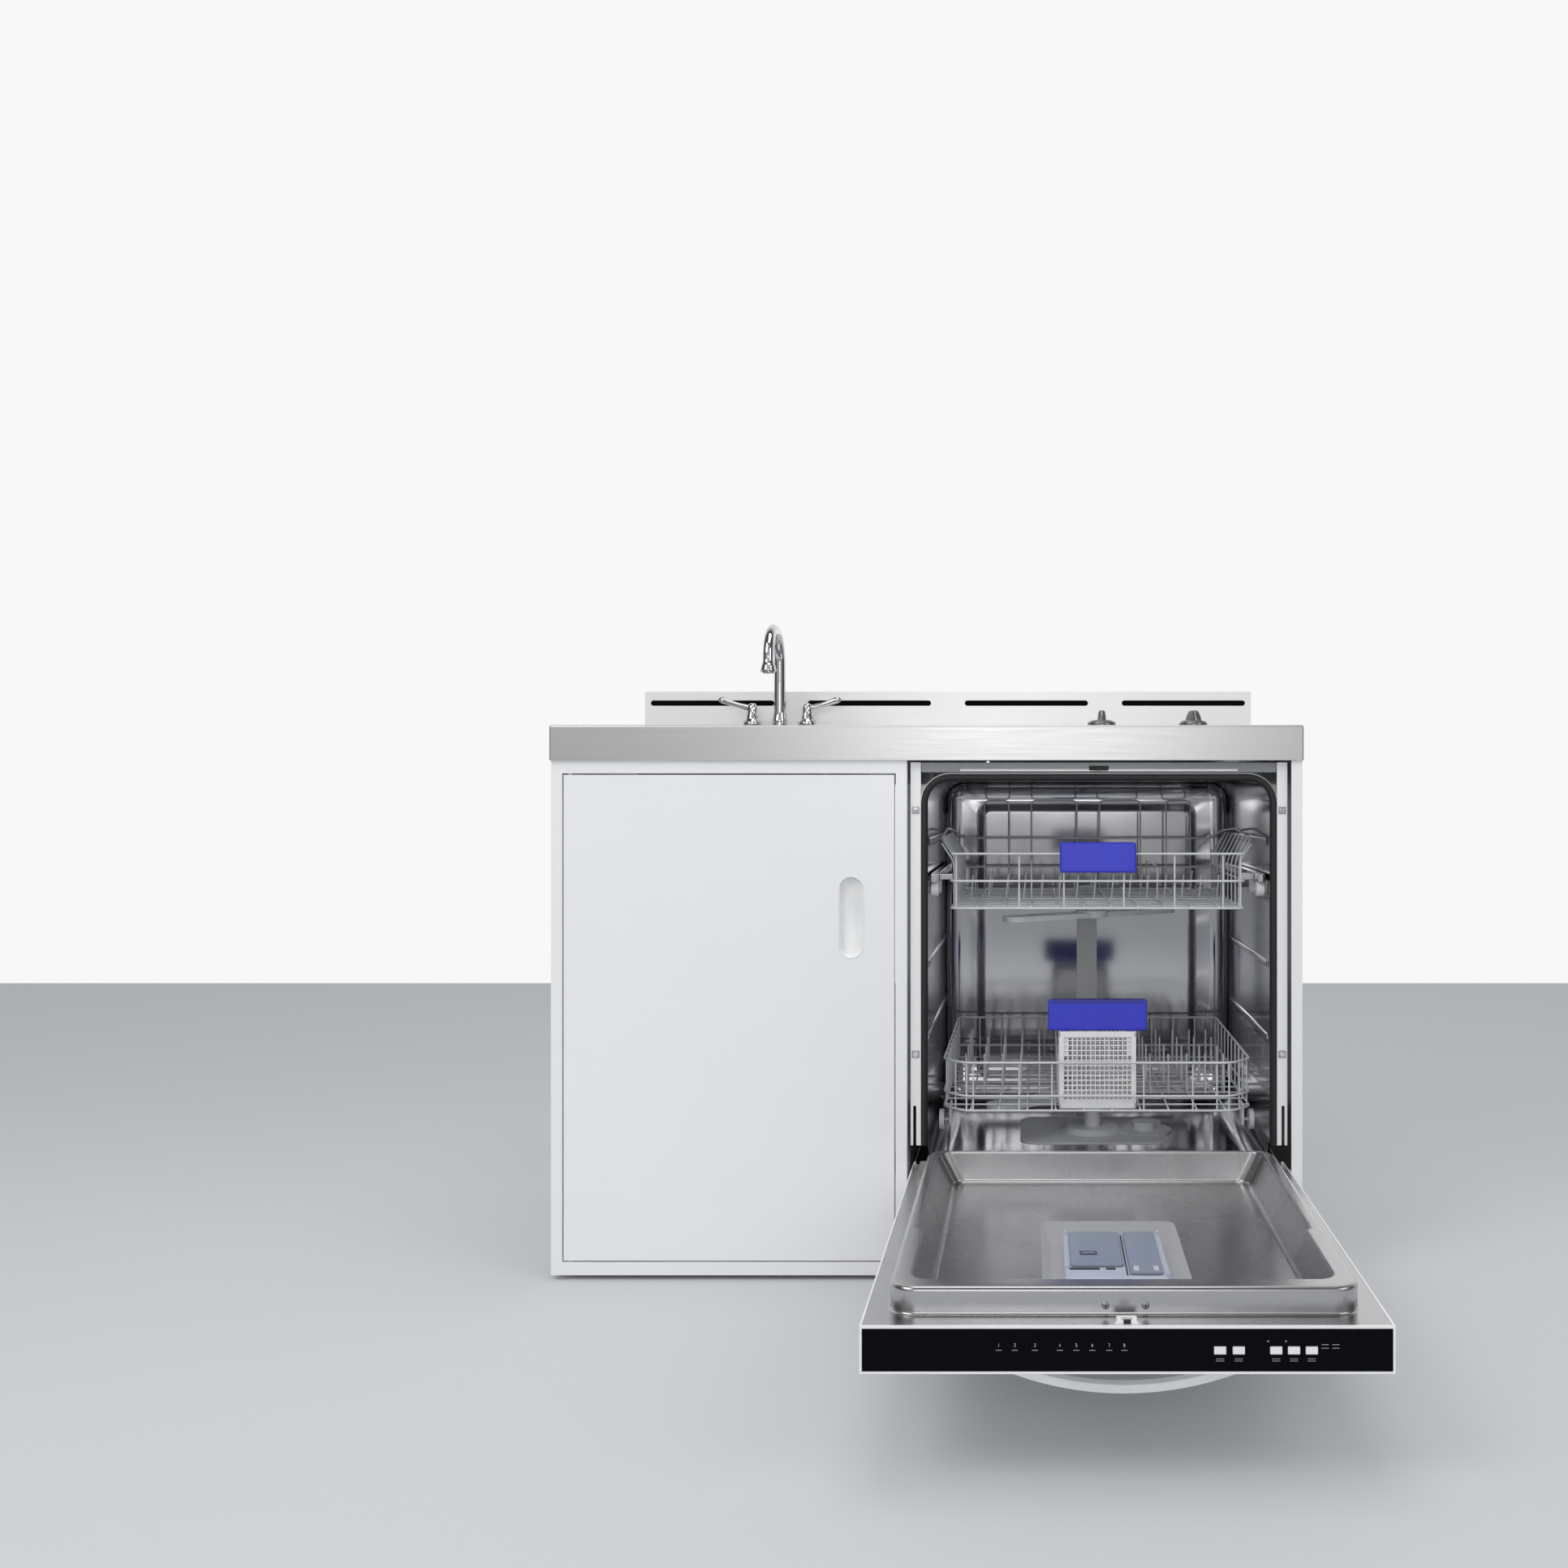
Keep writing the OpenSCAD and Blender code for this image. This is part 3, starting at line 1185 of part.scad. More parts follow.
// Upper rack with its side rails, the feed pipe of its spray arm and the arm's post
module upper_rack() {
    base = upper_z0 + wire/2 + hair;
    color("gainsboro") {
        wire_basket(upper_half, upper_len, upper_z0, upper_z1, 0);
        for (y = [0.35, 0.7])
            tines([dw_x - upper_half + 30, rack_y0 + y*upper_len, base], 2*upper_half - 60, 42);
        for (s = [0, 1]) translate([dw_x, 0, 0]) mirror([s, 0, 0]) {
            block([rail_x0, rack_y0, rail_z - rail_h2/2],
                  [rail_x0 + roller_w, rack_y0 + rail_len, rail_z + rail_h2/2]);
            for (y = [rack_y0 + 40, rack_y0 + upper_len - 60])
                block([upper_half + hair, y, rail_z - 5],
                      [rail_x0 - hair, y + 20, rail_z + 5]);
        }
    }
    color("lightgray") {
        block([dw_x - feed_half, arm_y - feed_half, feed_z - feed_half],
              [dw_x + feed_half, tub_y1 - riser.y - nozzle_l - seat, upper_z0 - wire/2]);
        translate([dw_x, arm_y, arm_z_up - seat - post_flange]) {
            cylinder(h = feed_z - arm_z_up + seat + post_flange, r = post_r);
            cylinder(h = post_flange, r = post_r + 4);
        }
    }
}

// Clip-on handle of the upper rack
module upper_rack_handle() {
    color("royalblue") {
        block([dw_x - 63, rack_y0 - 9, upper_z1 - 33], [dw_x + 63, rack_y0 - seat, upper_z1 + 17]);
        block([dw_x - 60, rack_y0 - 5, upper_z1 + seat], [dw_x + 60, rack_y0 + 24, upper_z1 + 17]);
    }
}

// A two-bladed spray arm with a bored hub
module spray_arm(z, r) {
    blade = 24;
    difference() {
        translate([dw_x, arm_y, z]) difference() {
            union() {
                linear_extrude(blade_t) rotate(35) {
                    square([2*(r - blade), 2*blade], center = true);
                    for (s = [-1, 1]) translate([s*(r - blade), 0]) circle(blade);
                }
                cylinder(h = arm_hub_h, r = 30);
            }
            for (s = [-1, 1], d = [70:40:r - 30]) rotate(35)
                translate([s*d, 0, blade_t - 2]) cylinder(h = 4, r = 3);
        }
        rod([dw_x, arm_y, z - over], [0, 0, 1], arm_hub_h + 2*over, post_r + run_c);
    }
}
module lower_spray_arm() { color("lightgray") spray_arm(arm_hub_low, arm_r_low); }
module upper_spray_arm() { color("lightgray") spray_arm(arm_z_up, arm_r_up); }

// Lower rack with the brackets and axles of its wheels
module lower_rack() {
    base = lower_z0 + wire/2 + hair;
    axle_z = track_z + seat + wheel_r;
    color("gainsboro") {
        wire_basket(lower_half, lower_len, lower_z0, lower_z1, lower_cham);
        for (y = [tine_y:tine_gap:lower_len - tine_gap])
            tines([dw_x - lower_half + 24, rack_y0 + y, base], 2*lower_half - 48, tine_h);
        for (s = [0, 1], y = wheel_y) translate([dw_x, y, 0]) mirror([s, 0, 0]) {
            block([wheel_in, -16, axle_z - 8], [wheel_in + 4, 16, lower_z0 - wire/2 - hair]);
            rod([wheel_in, 0, axle_z], [1, 0, 0], wheel_x + wheel_w/2 + 1.5 - wheel_in, axle_r);
        }
    }
}

// A pair of the lower rack's wheels on one axis
module wheel_pair(y) {
    color("gray") for (s = [0, 1]) translate([dw_x, y, track_z + seat + wheel_r])
        mirror([s, 0, 0]) difference() {
            rod([wheel_x - wheel_w/2, 0, 0], [1, 0, 0], wheel_w, wheel_r);
            rod([wheel_x - wheel_w/2 - over, 0, 0], [1, 0, 0], wheel_w + 2*over, axle_r + run_c);
            rod([wheel_x + wheel_w/2 - 2, 0, 0], [1, 0, 0], 2 + over, wheel_r - 5);
        }
}
module lower_wheels_front() { wheel_pair(wheel_y[0]); }
module lower_wheels_rear() { wheel_pair(wheel_y[1]); }

// Cutlery basket of flat plastic grids, with its blue carrying handle
module cutlery_basket() {
    pitch = 15;
    bar = 3;
    module mesh(w, h) {
        nw = round(w/pitch);
        nh = round(h/pitch);
        for (i = [0:nw]) translate([i*(w - bar)/nw, 0]) square([bar, h]);
        for (j = [0:nh]) translate([0, j*(h - bar)/nh]) square([w, bar]);
    }
    t = basket_t;
    w = basket.x;
    l = basket.y;
    h = basket.z - t - hair;
    translate([dw_x - w/2, basket_y, basket_z]) {
        color("whitesmoke") {
            linear_extrude(t) mesh(w, l);
            for (y = [t, l]) translate([0, y, t + hair]) rotate([90, 0, 0]) linear_extrude(t)
                mesh(w, h);
            for (x = [0, w - t]) translate([x, t + hair, t + hair]) rotate([90, 0, 90])
                linear_extrude(t) mesh(l - 2*t - 2*hair, h);
        }
        color("royalblue") {
            for (s = [-1, 1]) block([w/2 + s*(w/2 - 9) - 6, t + hair, basket.z - 40],
                                    [w/2 + s*(w/2 - 9) + 6, t + hair + 5, basket.z + 10]);
            block([w/2 - 82, t + hair - 3, basket.z + 2], [w/2 + 82, t + hair + 11, basket.z + 54]);
        }
    }
}

// ---------- The parts ----------

left_side_panel();
right_side_panel();
centre_partition();
cabinet_floor();
face_frame();
rear_rails();
levelling_feet();
worktop();
backsplash();
sink_bowl();
drain_flange();
drain_trap();
faucet_base();
drip_bowls();
hob_underbox();
hob_switchgear();
tub();
tub_gasket();
mounting_strips();
strip_screws();
chassis_base();
sump_filter();
pump_unit();
water_riser();
door_hinge_brackets();
latch_strike();
rail_rollers_front();
rail_rollers_rear();
cabinet_door();
recess_pull();
spout();
hot_handle();
cold_handle();
strainer_basket();
left_knob();
right_knob();
left_coil();
right_coil();
door_outer_panel();
door_inner_panel();
control_fascia();
bow_handle();
dispenser_body();
door_hinge_arms();
door_latch();
dispenser_lid();
rinse_lid();
button_1();
button_2();
button_3();
button_4();
button_5();
upper_rack();
upper_rack_handle();
upper_spray_arm();
lower_rack();
lower_wheels_front();
lower_wheels_rear();
cutlery_basket();
lower_spray_arm();
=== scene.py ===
"""The kitchenette's looks on the CAD frame: finishes, folded sheet, wire racks and the faucet.

Points are in millimetres up to at(), which turns them into the frame's metres. Edge widths,
wire radii and the studio's places are in metres.
"""
import json
import math

import bmesh
import bpy
from mathutils import Matrix, Vector


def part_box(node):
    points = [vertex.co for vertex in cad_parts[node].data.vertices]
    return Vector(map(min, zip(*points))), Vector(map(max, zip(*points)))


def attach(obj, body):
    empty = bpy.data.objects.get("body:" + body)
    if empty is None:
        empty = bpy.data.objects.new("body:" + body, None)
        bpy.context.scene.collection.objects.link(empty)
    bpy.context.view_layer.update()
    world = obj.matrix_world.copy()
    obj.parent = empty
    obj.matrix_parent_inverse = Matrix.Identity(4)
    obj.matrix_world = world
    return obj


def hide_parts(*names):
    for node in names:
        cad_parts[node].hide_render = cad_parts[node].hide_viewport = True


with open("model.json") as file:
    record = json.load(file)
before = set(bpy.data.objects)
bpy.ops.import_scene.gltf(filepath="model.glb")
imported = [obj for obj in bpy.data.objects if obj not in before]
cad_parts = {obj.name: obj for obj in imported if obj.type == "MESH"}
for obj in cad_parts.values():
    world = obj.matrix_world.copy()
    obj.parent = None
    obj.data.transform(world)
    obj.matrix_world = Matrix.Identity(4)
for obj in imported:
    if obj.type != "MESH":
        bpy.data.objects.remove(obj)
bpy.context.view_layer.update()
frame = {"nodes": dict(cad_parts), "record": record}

# --- measures that several pieces share
MM = 0.001
DX = 279                                      # middle of the dishwasher
DOOR_BODY = "dishwasher_door"
DOOR_FRONT = -1300                            # the open door's far end, where its fascia is
FLANGE_Z = 188                                # the open door's inner face
JOG_Y = (-1052, -1042)                        # where the liner's long sides step inwards
LIP_Z = 216                                   # the tub's and its seal's low front edge
SINK_X = -328
FAUCET_Y = -105
DECK_Z = 898                                  # top of the worktop
KNOB_Y = -500
RACK_FRONT, RACK_BACK = -558, -92             # front and back wires of the upper rack
WIRE, FINE_WIRE = 0.002, 0.0015               # radii, in metres
WELD = 1e-6                                   # points nearer than this are one, in metres
FLAT = math.radians(0.6)                      # faces within this angle are one flat face
NOISE_SPAN = (0.3, 0.7)                       # the noise values between which a finish varies

# --- materials


def set_inputs(shader_node, sockets):
    """Sets a shader node's input sockets, named by their labels with _ for spaces."""
    for key, value in sockets.items():
        shader_node.inputs[key.replace("_", " ")].default_value = value


def node(tree, kind, **sockets):
    """A new shader node with some of its input sockets set."""
    made = tree.nodes.new(kind)
    set_inputs(made, sockets)
    return made


def base_material(name, color, roughness, metallic=0.0, **sockets):
    """A principled material; returns the material, its tree and its shader."""
    mat = bpy.data.materials.new(name)
    mat.use_nodes = True
    tree = mat.node_tree
    shader = tree.nodes["Principled BSDF"]
    set_inputs(shader, {"Base Color": (*color, 1), "Roughness": roughness,
                        "Metallic": metallic, **sockets})
    return mat, tree, shader


def object_noise(tree, stretch, scale, detail=4.0, roughness=0.55):
    """Noise on the object's own coordinates, stretched along each axis."""
    coord = tree.nodes.new("ShaderNodeTexCoord")
    mapping = node(tree, "ShaderNodeMapping", Scale=stretch)
    noise = node(tree, "ShaderNodeTexNoise", Scale=scale, Detail=detail, Roughness=roughness)
    tree.links.new(coord.outputs["Object"], mapping.inputs["Vector"])
    tree.links.new(mapping.outputs["Vector"], noise.inputs["Vector"])
    return noise


def vary(tree, noise, socket, low, high):
    """Varies a number socket between two values by the noise."""
    span = node(tree, "ShaderNodeMapRange", From_Min=NOISE_SPAN[0], From_Max=NOISE_SPAN[1],
                To_Min=low, To_Max=high)
    tree.links.new(noise.outputs["Fac"], span.inputs["Value"])
    tree.links.new(span.outputs["Result"], socket)


def tint(tree, noise, shader, dark, light):
    """Varies the base colour between two colours by the noise."""
    ramp = tree.nodes.new("ShaderNodeValToRGB")
    for stop, place, color in zip(ramp.color_ramp.elements, NOISE_SPAN, (dark, light)):
        stop.position = place
        stop.color = (*color, 1)
    tree.links.new(noise.outputs["Fac"], ramp.inputs["Fac"])
    tree.links.new(ramp.outputs["Color"], shader.inputs["Base Color"])


def bump(tree, noise, shader, strength, distance):
    """Raises the surface's shading by the noise."""
    made = node(tree, "ShaderNodeBump", Strength=strength, Distance=distance)
    tree.links.new(noise.outputs["Fac"], made.inputs["Height"])
    tree.links.new(made.outputs["Normal"], shader.inputs["Normal"])


def scaled(color, factor):
    """A colour made lighter or darker, at most white."""
    return tuple(min(1.0, c * factor) for c in color)


def painted(name, color, roughness=0.3):
    """Baked enamel on sheet steel: a faint orange peel and a slightly uneven gloss."""
    mat, tree, shader = base_material(name, color, roughness, Coat_Weight=0.25,
                                      Coat_Roughness=0.12)
    peel = object_noise(tree, (1, 1, 1), 420, 2.0)
    bump(tree, peel, shader, 0.05, 0.0004)
    cloud = object_noise(tree, (1, 1, 1), 5)
    vary(tree, cloud, shader.inputs["Roughness"], roughness - 0.01, roughness + 0.01)
    tint(tree, cloud, shader, scaled(color, 0.99), scaled(color, 1.0))
    return mat


def brushed(name, color, stretch, roughness, depth=0.08, metallic=1.0):
    """Stainless sheet with a long fine grain; stretch is small along the grain."""
    mat, tree, shader = base_material(name, color, roughness, metallic)
    grain = object_noise(tree, stretch, 420, 3.0, 0.6)
    if depth:
        bump(tree, grain, shader, depth, 0.0001)
    vary(tree, grain, shader.inputs["Roughness"], roughness - 0.03, roughness + 0.04)
    cloud = object_noise(tree, tuple(s * 0.4 + 0.1 for s in stretch), 7, 2.0)
    tint(tree, cloud, shader, scaled(color, 0.98), scaled(color, 1.01))
    return mat


def polished(name, color, roughness):
    """Plated or polished metal with faint wipe marks in its gloss."""
    mat, tree, shader = base_material(name, color, roughness, 1.0)
    wipe = object_noise(tree, (1, 1, 0.4), 12, 2.0)
    vary(tree, wipe, shader.inputs["Roughness"], roughness * 0.9, roughness * 1.12)
    tint(tree, wipe, shader, scaled(color, 0.98), scaled(color, 1.01))
    return mat


def moulded(name, color, roughness, grain=0.12, **sockets):
    """Moulded plastic or rubber with a fine spark-eroded grain."""
    mat, tree, shader = base_material(name, color, roughness, **sockets)
    fine = object_noise(tree, (1, 1, 1), 1400, 2.0)
    bump(tree, fine, shader, grain, 0.0002)
    cloud = object_noise(tree, (1, 1, 1), 22)
    vary(tree, cloud, shader.inputs["Roughness"], roughness - 0.04, roughness + 0.06)
    tint(tree, cloud, shader, scaled(color, 0.93), scaled(color, 1.04))
    return mat


WHITE = painted("enamel_white", (0.92, 0.92, 0.92))
STAINLESS = brushed("stainless_long_grain", (0.70, 0.70, 0.70), (0.02, 1, 1), 0.33, 0.04)
SPLASH_STEEL = brushed("splash_long_grain", (0.91, 0.91, 0.91), (0.02, 1, 1), 0.36, 0.03, 0.40)
STAINLESS_UP = brushed("stainless_cross_grain", (0.60, 0.60, 0.60), (1, 0.02, 1), 0.32)
TUB_STEEL = polished("tub_bright_steel", (0.55, 0.55, 0.57), 0.11)
LINER_STEEL = polished("liner_steel", (0.50, 0.50, 0.51), 0.26)
# The plate round the dispenser is the liner's own pressed steel; its lighter colour is painted
# light, standing in for the brighter reflection it catches.
PLATE_PAINTED_LIGHTER = brushed("liner_plate", (0.66, 0.66, 0.66), (1, 1, 1), 0.45, 0, 0.55)
CHROME = polished("chrome", (0.72, 0.72, 0.74), 0.05)
ZINC = polished("zinc_plate", (0.42, 0.43, 0.45), 0.35)
COIL_BLACK = moulded("coil_oxide", (0.035, 0.033, 0.035), 0.45, 0.4)
RUBBER = moulded("black_rubber", (0.016, 0.016, 0.017), 0.55, 0.3)
FASCIA = moulded("fascia_black", (0.0015, 0.0015, 0.003), 0.12, 0.01, Specular_IOR_Level=0.07)
DARK_PLASTIC = moulded("dark_plastic", (0.05, 0.05, 0.052), 0.5)
KNOB_GREY = moulded("knob_satin", (0.22, 0.22, 0.215), 0.27, 0.06, Metallic=0.8)
WHITE_PLASTIC = moulded("white_plastic", (0.90, 0.90, 0.895), 0.34, 0.06)
PALE_GREY = moulded("pale_grey_plastic", (0.76, 0.77, 0.78), 0.42)
BLUE = moulded("blue_plastic", (0.045, 0.052, 0.62), 0.36, 0.05)
BLUE_DEEP = moulded("blue_plastic_lip", (0.030, 0.034, 0.33), 0.36, 0.05)
WIRE_COAT = moulded("coated_wire", (0.70, 0.71, 0.73), 0.28, 0.05)
DISPENSER = moulded("dispenser_plastic", (0.50, 0.54, 0.64), 0.36, 0.05)
DISPENSER_LID = moulded("dispenser_lid_plastic", (0.25, 0.29, 0.38), 0.33, 0.05)
HEAD_GREY = painted("flange_grey", (0.30, 0.31, 0.32), 0.35)
# Near-white for the head flange's steel bead: a painted highlight standing in for its reflection
# of the lamps.
BEAD_PAINTED_HIGHLIGHT = moulded("bead_painted_highlight", (0.90, 0.90, 0.90), 0.25, 0.02)
# Near-black sheet put inside the splash's slots: painted shade of their hollow.
SLOT_PAINTED_SHADE = moulded("slot_shadow", (0.003, 0.003, 0.003), 0.9, 0.02, Specular_IOR_Level=0.05)
PRINT_WHITE = moulded("printed_white", (0.80, 0.80, 0.80), 0.5, 0.02)
LATCH_DARK = moulded("latch_dark", (0.07, 0.08, 0.10), 0.4)
WINDOW_GREY = moulded("window_grey", (0.27, 0.30, 0.35), 0.15)
TAB_PALE = moulded("tab_pale", (0.58, 0.62, 0.68), 0.2)
MARK_GREY = moulded("mark_grey", (0.30, 0.30, 0.32), 0.5)

# --- mesh helpers

def new_object(name, mesh, material, body, slot, *stands_for):
    """Puts a mesh in the scene as a piece of a body, with its finish."""
    piece = bpy.data.objects.new(name, mesh)
    bpy.context.scene.collection.objects.link(piece)
    mesh.materials.clear()
    mesh.materials.append(material)
    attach(piece, body)
    if stands_for:
        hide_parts(*stands_for)
    return piece


def apply_modifiers(piece):
    """Turns the piece's modifiers into plain mesh."""
    graph = bpy.context.evaluated_depsgraph_get()
    done = bpy.data.meshes.new_from_object(piece.evaluated_get(graph))
    piece.modifiers.clear()
    old = piece.data
    piece.data = done
    bpy.data.meshes.remove(old)


def smooth_by_angle(mesh, degrees=32):
    """Smooth shading with sharp edges where faces meet at more than the angle."""
    bm = bmesh.new()
    bm.from_mesh(mesh)
    limit = math.radians(degrees)
    for face in bm.faces:
        face.smooth = True
    for edge in bm.edges:
        edge.smooth = len(edge.link_faces) == 2 and edge.calc_face_angle(0) < limit
    bm.to_mesh(mesh)
    bm.free()


def soften(piece, width, segments=2, angle=28):
    """Rounds the piece's sharp edges by a bevel and shades it smooth between them."""
    if width:
        bevel = piece.modifiers.new("edges", "BEVEL")
        bevel.width = width
        bevel.segments = segments
        bevel.limit_method = "ANGLE"
        bevel.angle_limit = math.radians(angle)
        bevel.use_clamp_overlap = True
        apply_modifiers(piece)
    smooth_by_angle(piece.data)
    even = piece.modifiers.new("even", "WEIGHTED_NORMAL")
    even.keep_sharp = True
    apply_modifiers(piece)


BODY_OF = {n: b for b, names in frame["record"]["behaviour"]["bodies"].items() for n in names}
SLOT_OF = {s["node"]: s["material_slot"] for s in frame["record"]["subparts"]}


def flat_faced(name):
    """A copy of a CAD node's mesh, and its bmesh with the triangles joined to flat faces."""
    mesh = frame["nodes"][name].data.copy()
    bm = bmesh.new()
    bm.from_mesh(mesh)
    bmesh.ops.remove_doubles(bm, verts=bm.verts, dist=WELD)
    bmesh.ops.dissolve_limit(bm, angle_limit=FLAT, verts=bm.verts, edges=bm.edges)
    return mesh, bm


def dressed(name, material, width=0.0006, segments=2):
    """A CAD node's own shape with its edges rounded."""
    mesh, bm = flat_faced(name)
    bm.to_mesh(mesh)
    bm.free()
    piece = new_object(name + "_dressed", mesh, material, BODY_OF[name], SLOT_OF[name], name)
    soften(piece, width, segments)
    return piece


def from_bmesh(name, bm, material, body, slot, *stands_for, smooth=None):
    """Makes a piece from a bmesh, its faces turned outwards, shaded smooth up to an angle."""
    mesh = bpy.data.meshes.new(name)
    bmesh.ops.recalc_face_normals(bm, faces=bm.faces)
    bm.to_mesh(mesh)
    bm.free()
    piece = new_object(name, mesh, material, body, slot, *stands_for)
    if smooth:
        smooth_by_angle(mesh, smooth)
    return piece


# --- shape helpers


def at(x, y, z):
    """A point given in millimetres, in the frame's metres."""
    return (x * MM, y * MM, z * MM)


def at_all(points):
    """Points given in millimetres, in the frame's metres."""
    return [at(*p) for p in points]


def around(steps):
    """The angles of a full turn."""
    return [2 * math.pi * k / steps for k in range(steps)]


def quarter(steps=6):
    """Sine and one-minus-cosine pairs of a quarter turn."""
    return [(math.sin(math.pi / 2 * k / steps), 1 - math.cos(math.pi / 2 * k / steps))
            for k in range(1, steps + 1)]


def ring(center, half, radius, *, steps, axis="Z"):
    """A rounded rectangle's points about a centre; axis is the one it faces along."""
    cx, cy, cz = center
    hx, hy = half
    points = []
    for sx, sy, turn in ((1, 1, 0), (-1, 1, 90), (-1, -1, 180), (1, -1, 270)):
        for k in range(steps + 1):
            a = math.radians(turn + 90 * k / steps)
            u = sx * (hx - radius) + radius * math.cos(a)
            v = sy * (hy - radius) + radius * math.sin(a)
            points.append((cx + u, cy + v, cz) if axis == "Z" else (cx + u, cy, cz + v))
    return points


def loft(bm, loops, cap_first=False, cap_last=False):
    """Skins a run of closed loops of equal point counts."""
    rows = [[bm.verts.new(p) for p in loop] for loop in loops]
    count = len(rows[0])
    for low, high in zip(rows, rows[1:]):
        for k in range(count):
            bm.faces.new((low[k], low[(k + 1) % count], high[(k + 1) % count], high[k]))
    if cap_first:
        bm.faces.new(rows[0])
    if cap_last:
        bm.faces.new(rows[-1])


def box_mesh(bm, low, high):
    """Adds a plain block between two corners."""
    low, high = at(*low), at(*high)
    verts = [bm.verts.new((x, y, z)) for x in (low[0], high[0]) for y in (low[1], high[1])
             for z in (low[2], high[2])]
    for quad in ((0, 1, 3, 2), (4, 6, 7, 5), (0, 4, 5, 1), (2, 3, 7, 6), (0, 2, 6, 4),
                 (1, 5, 7, 3)):
        bm.faces.new([verts[k] for k in quad])


def blocks(name, corners, material, body, slot, *stands_for, width=None, segments=2):
    """A piece made of plain blocks, each from its low to its high corner.

    With a width its edges are rounded.
    """
    bm = bmesh.new()
    for low, high in corners:
        box_mesh(bm, low, high)
    piece = from_bmesh(name, bm, material, body, slot, *stands_for)
    if width:
        soften(piece, width, segments)


def lathe(bm, profile, center, steps):
    """Revolves (radius, height) points about an upright axis; points on the axis close it."""
    cx, cy, cz = at(*center)
    rows = []
    for r, h in ((r * MM, h * MM) for r, h in profile):
        angles = around(steps) if r else [0]
        rows.append([bm.verts.new((cx + r * math.cos(a), cy + r * math.sin(a), cz + h))
                     for a in angles])
    for low, high in zip(rows, rows[1:]):
        for k in range(steps):
            quad = (low[k % len(low)], low[(k + 1) % len(low)],
                    high[(k + 1) % len(high)], high[k % len(high)])
            face = [v for i, v in enumerate(quad) if v not in quad[:i]]
            if len(face) > 2:
                bm.faces.new(face)


def rounded_path(points, radius):
    """A polyline with its inner corners turned into arcs."""
    pts = [Vector(p) for p in points]
    out = [pts[0]]
    for before, here, after in zip(pts, pts[1:], pts[2:]):
        a, b = (before - here), (after - here)
        reach = min(radius, a.length * 0.49, b.length * 0.49)
        p, q = here + a.normalized() * reach, here + b.normalized() * reach
        for t in (0, 0.2, 0.4, 0.6, 0.8, 1):
            out.append(p.lerp(here, t).lerp(here.lerp(q, t), t))
    out.append(pts[-1])
    return out


def wires(name, paths, radius, material, body, slot, *stands_for, sides=3, corner=0.012):
    """Round wires along polylines, each a list of points; a closed one ends where it starts."""
    curve = bpy.data.curves.new(name, "CURVE")
    curve.dimensions = "3D"
    curve.bevel_depth = radius
    curve.bevel_resolution = sides
    curve.use_fill_caps = True
    for path in paths:
        pts = rounded_path(path, corner) if len(path) > 2 else [Vector(p) for p in path]
        spline = curve.splines.new("POLY")
        spline.points.add(len(pts) - 1)
        for point, p in zip(spline.points, pts):
            point.co = (*p, 1)
    carrier = bpy.data.objects.new(name, curve)
    bpy.context.scene.collection.objects.link(carrier)
    graph = bpy.context.evaluated_depsgraph_get()
    mesh = bpy.data.meshes.new_from_object(carrier.evaluated_get(graph))
    mesh.name = name
    bpy.data.objects.remove(carrier)
    for polygon in mesh.polygons:
        polygon.use_smooth = True
    return new_object(name, mesh, material, body, slot, *stands_for)


# --- dishwasher door, lying open


def outline(hx, y0, y1, r, z):
    """A rounded loop of the liner, from its half width, its two ends, its corner and its height.

    Each long side has a jog: the rim and its slope stand nearer the middle in front of it.
    """
    loop = ring((DX, (y0 + y1) / 2, z), (hx, (y1 - y0) / 2), r, steps=10)
    side = [(DX - hx, JOG_Y[1], z), (DX - hx, JOG_Y[0], z)]
    far_side = [(DX + hx, JOG_Y[0], z), (DX + hx, JOG_Y[1], z)]
    half = len(loop) // 2
    loop = loop[:half] + side + loop[half:] + far_side
    nip = 7 if 240 < hx < 262 else 0
    return [at(x - math.copysign(nip, x - DX) if y < JOG_Y[0] + 0.1 else x, y, z)
            for x, y, z in loop]


def blend(a, b, t):
    """The loop measures a share t of the way from a to b."""
    return tuple(x + (y - x) * t for x, y in zip(a, b))


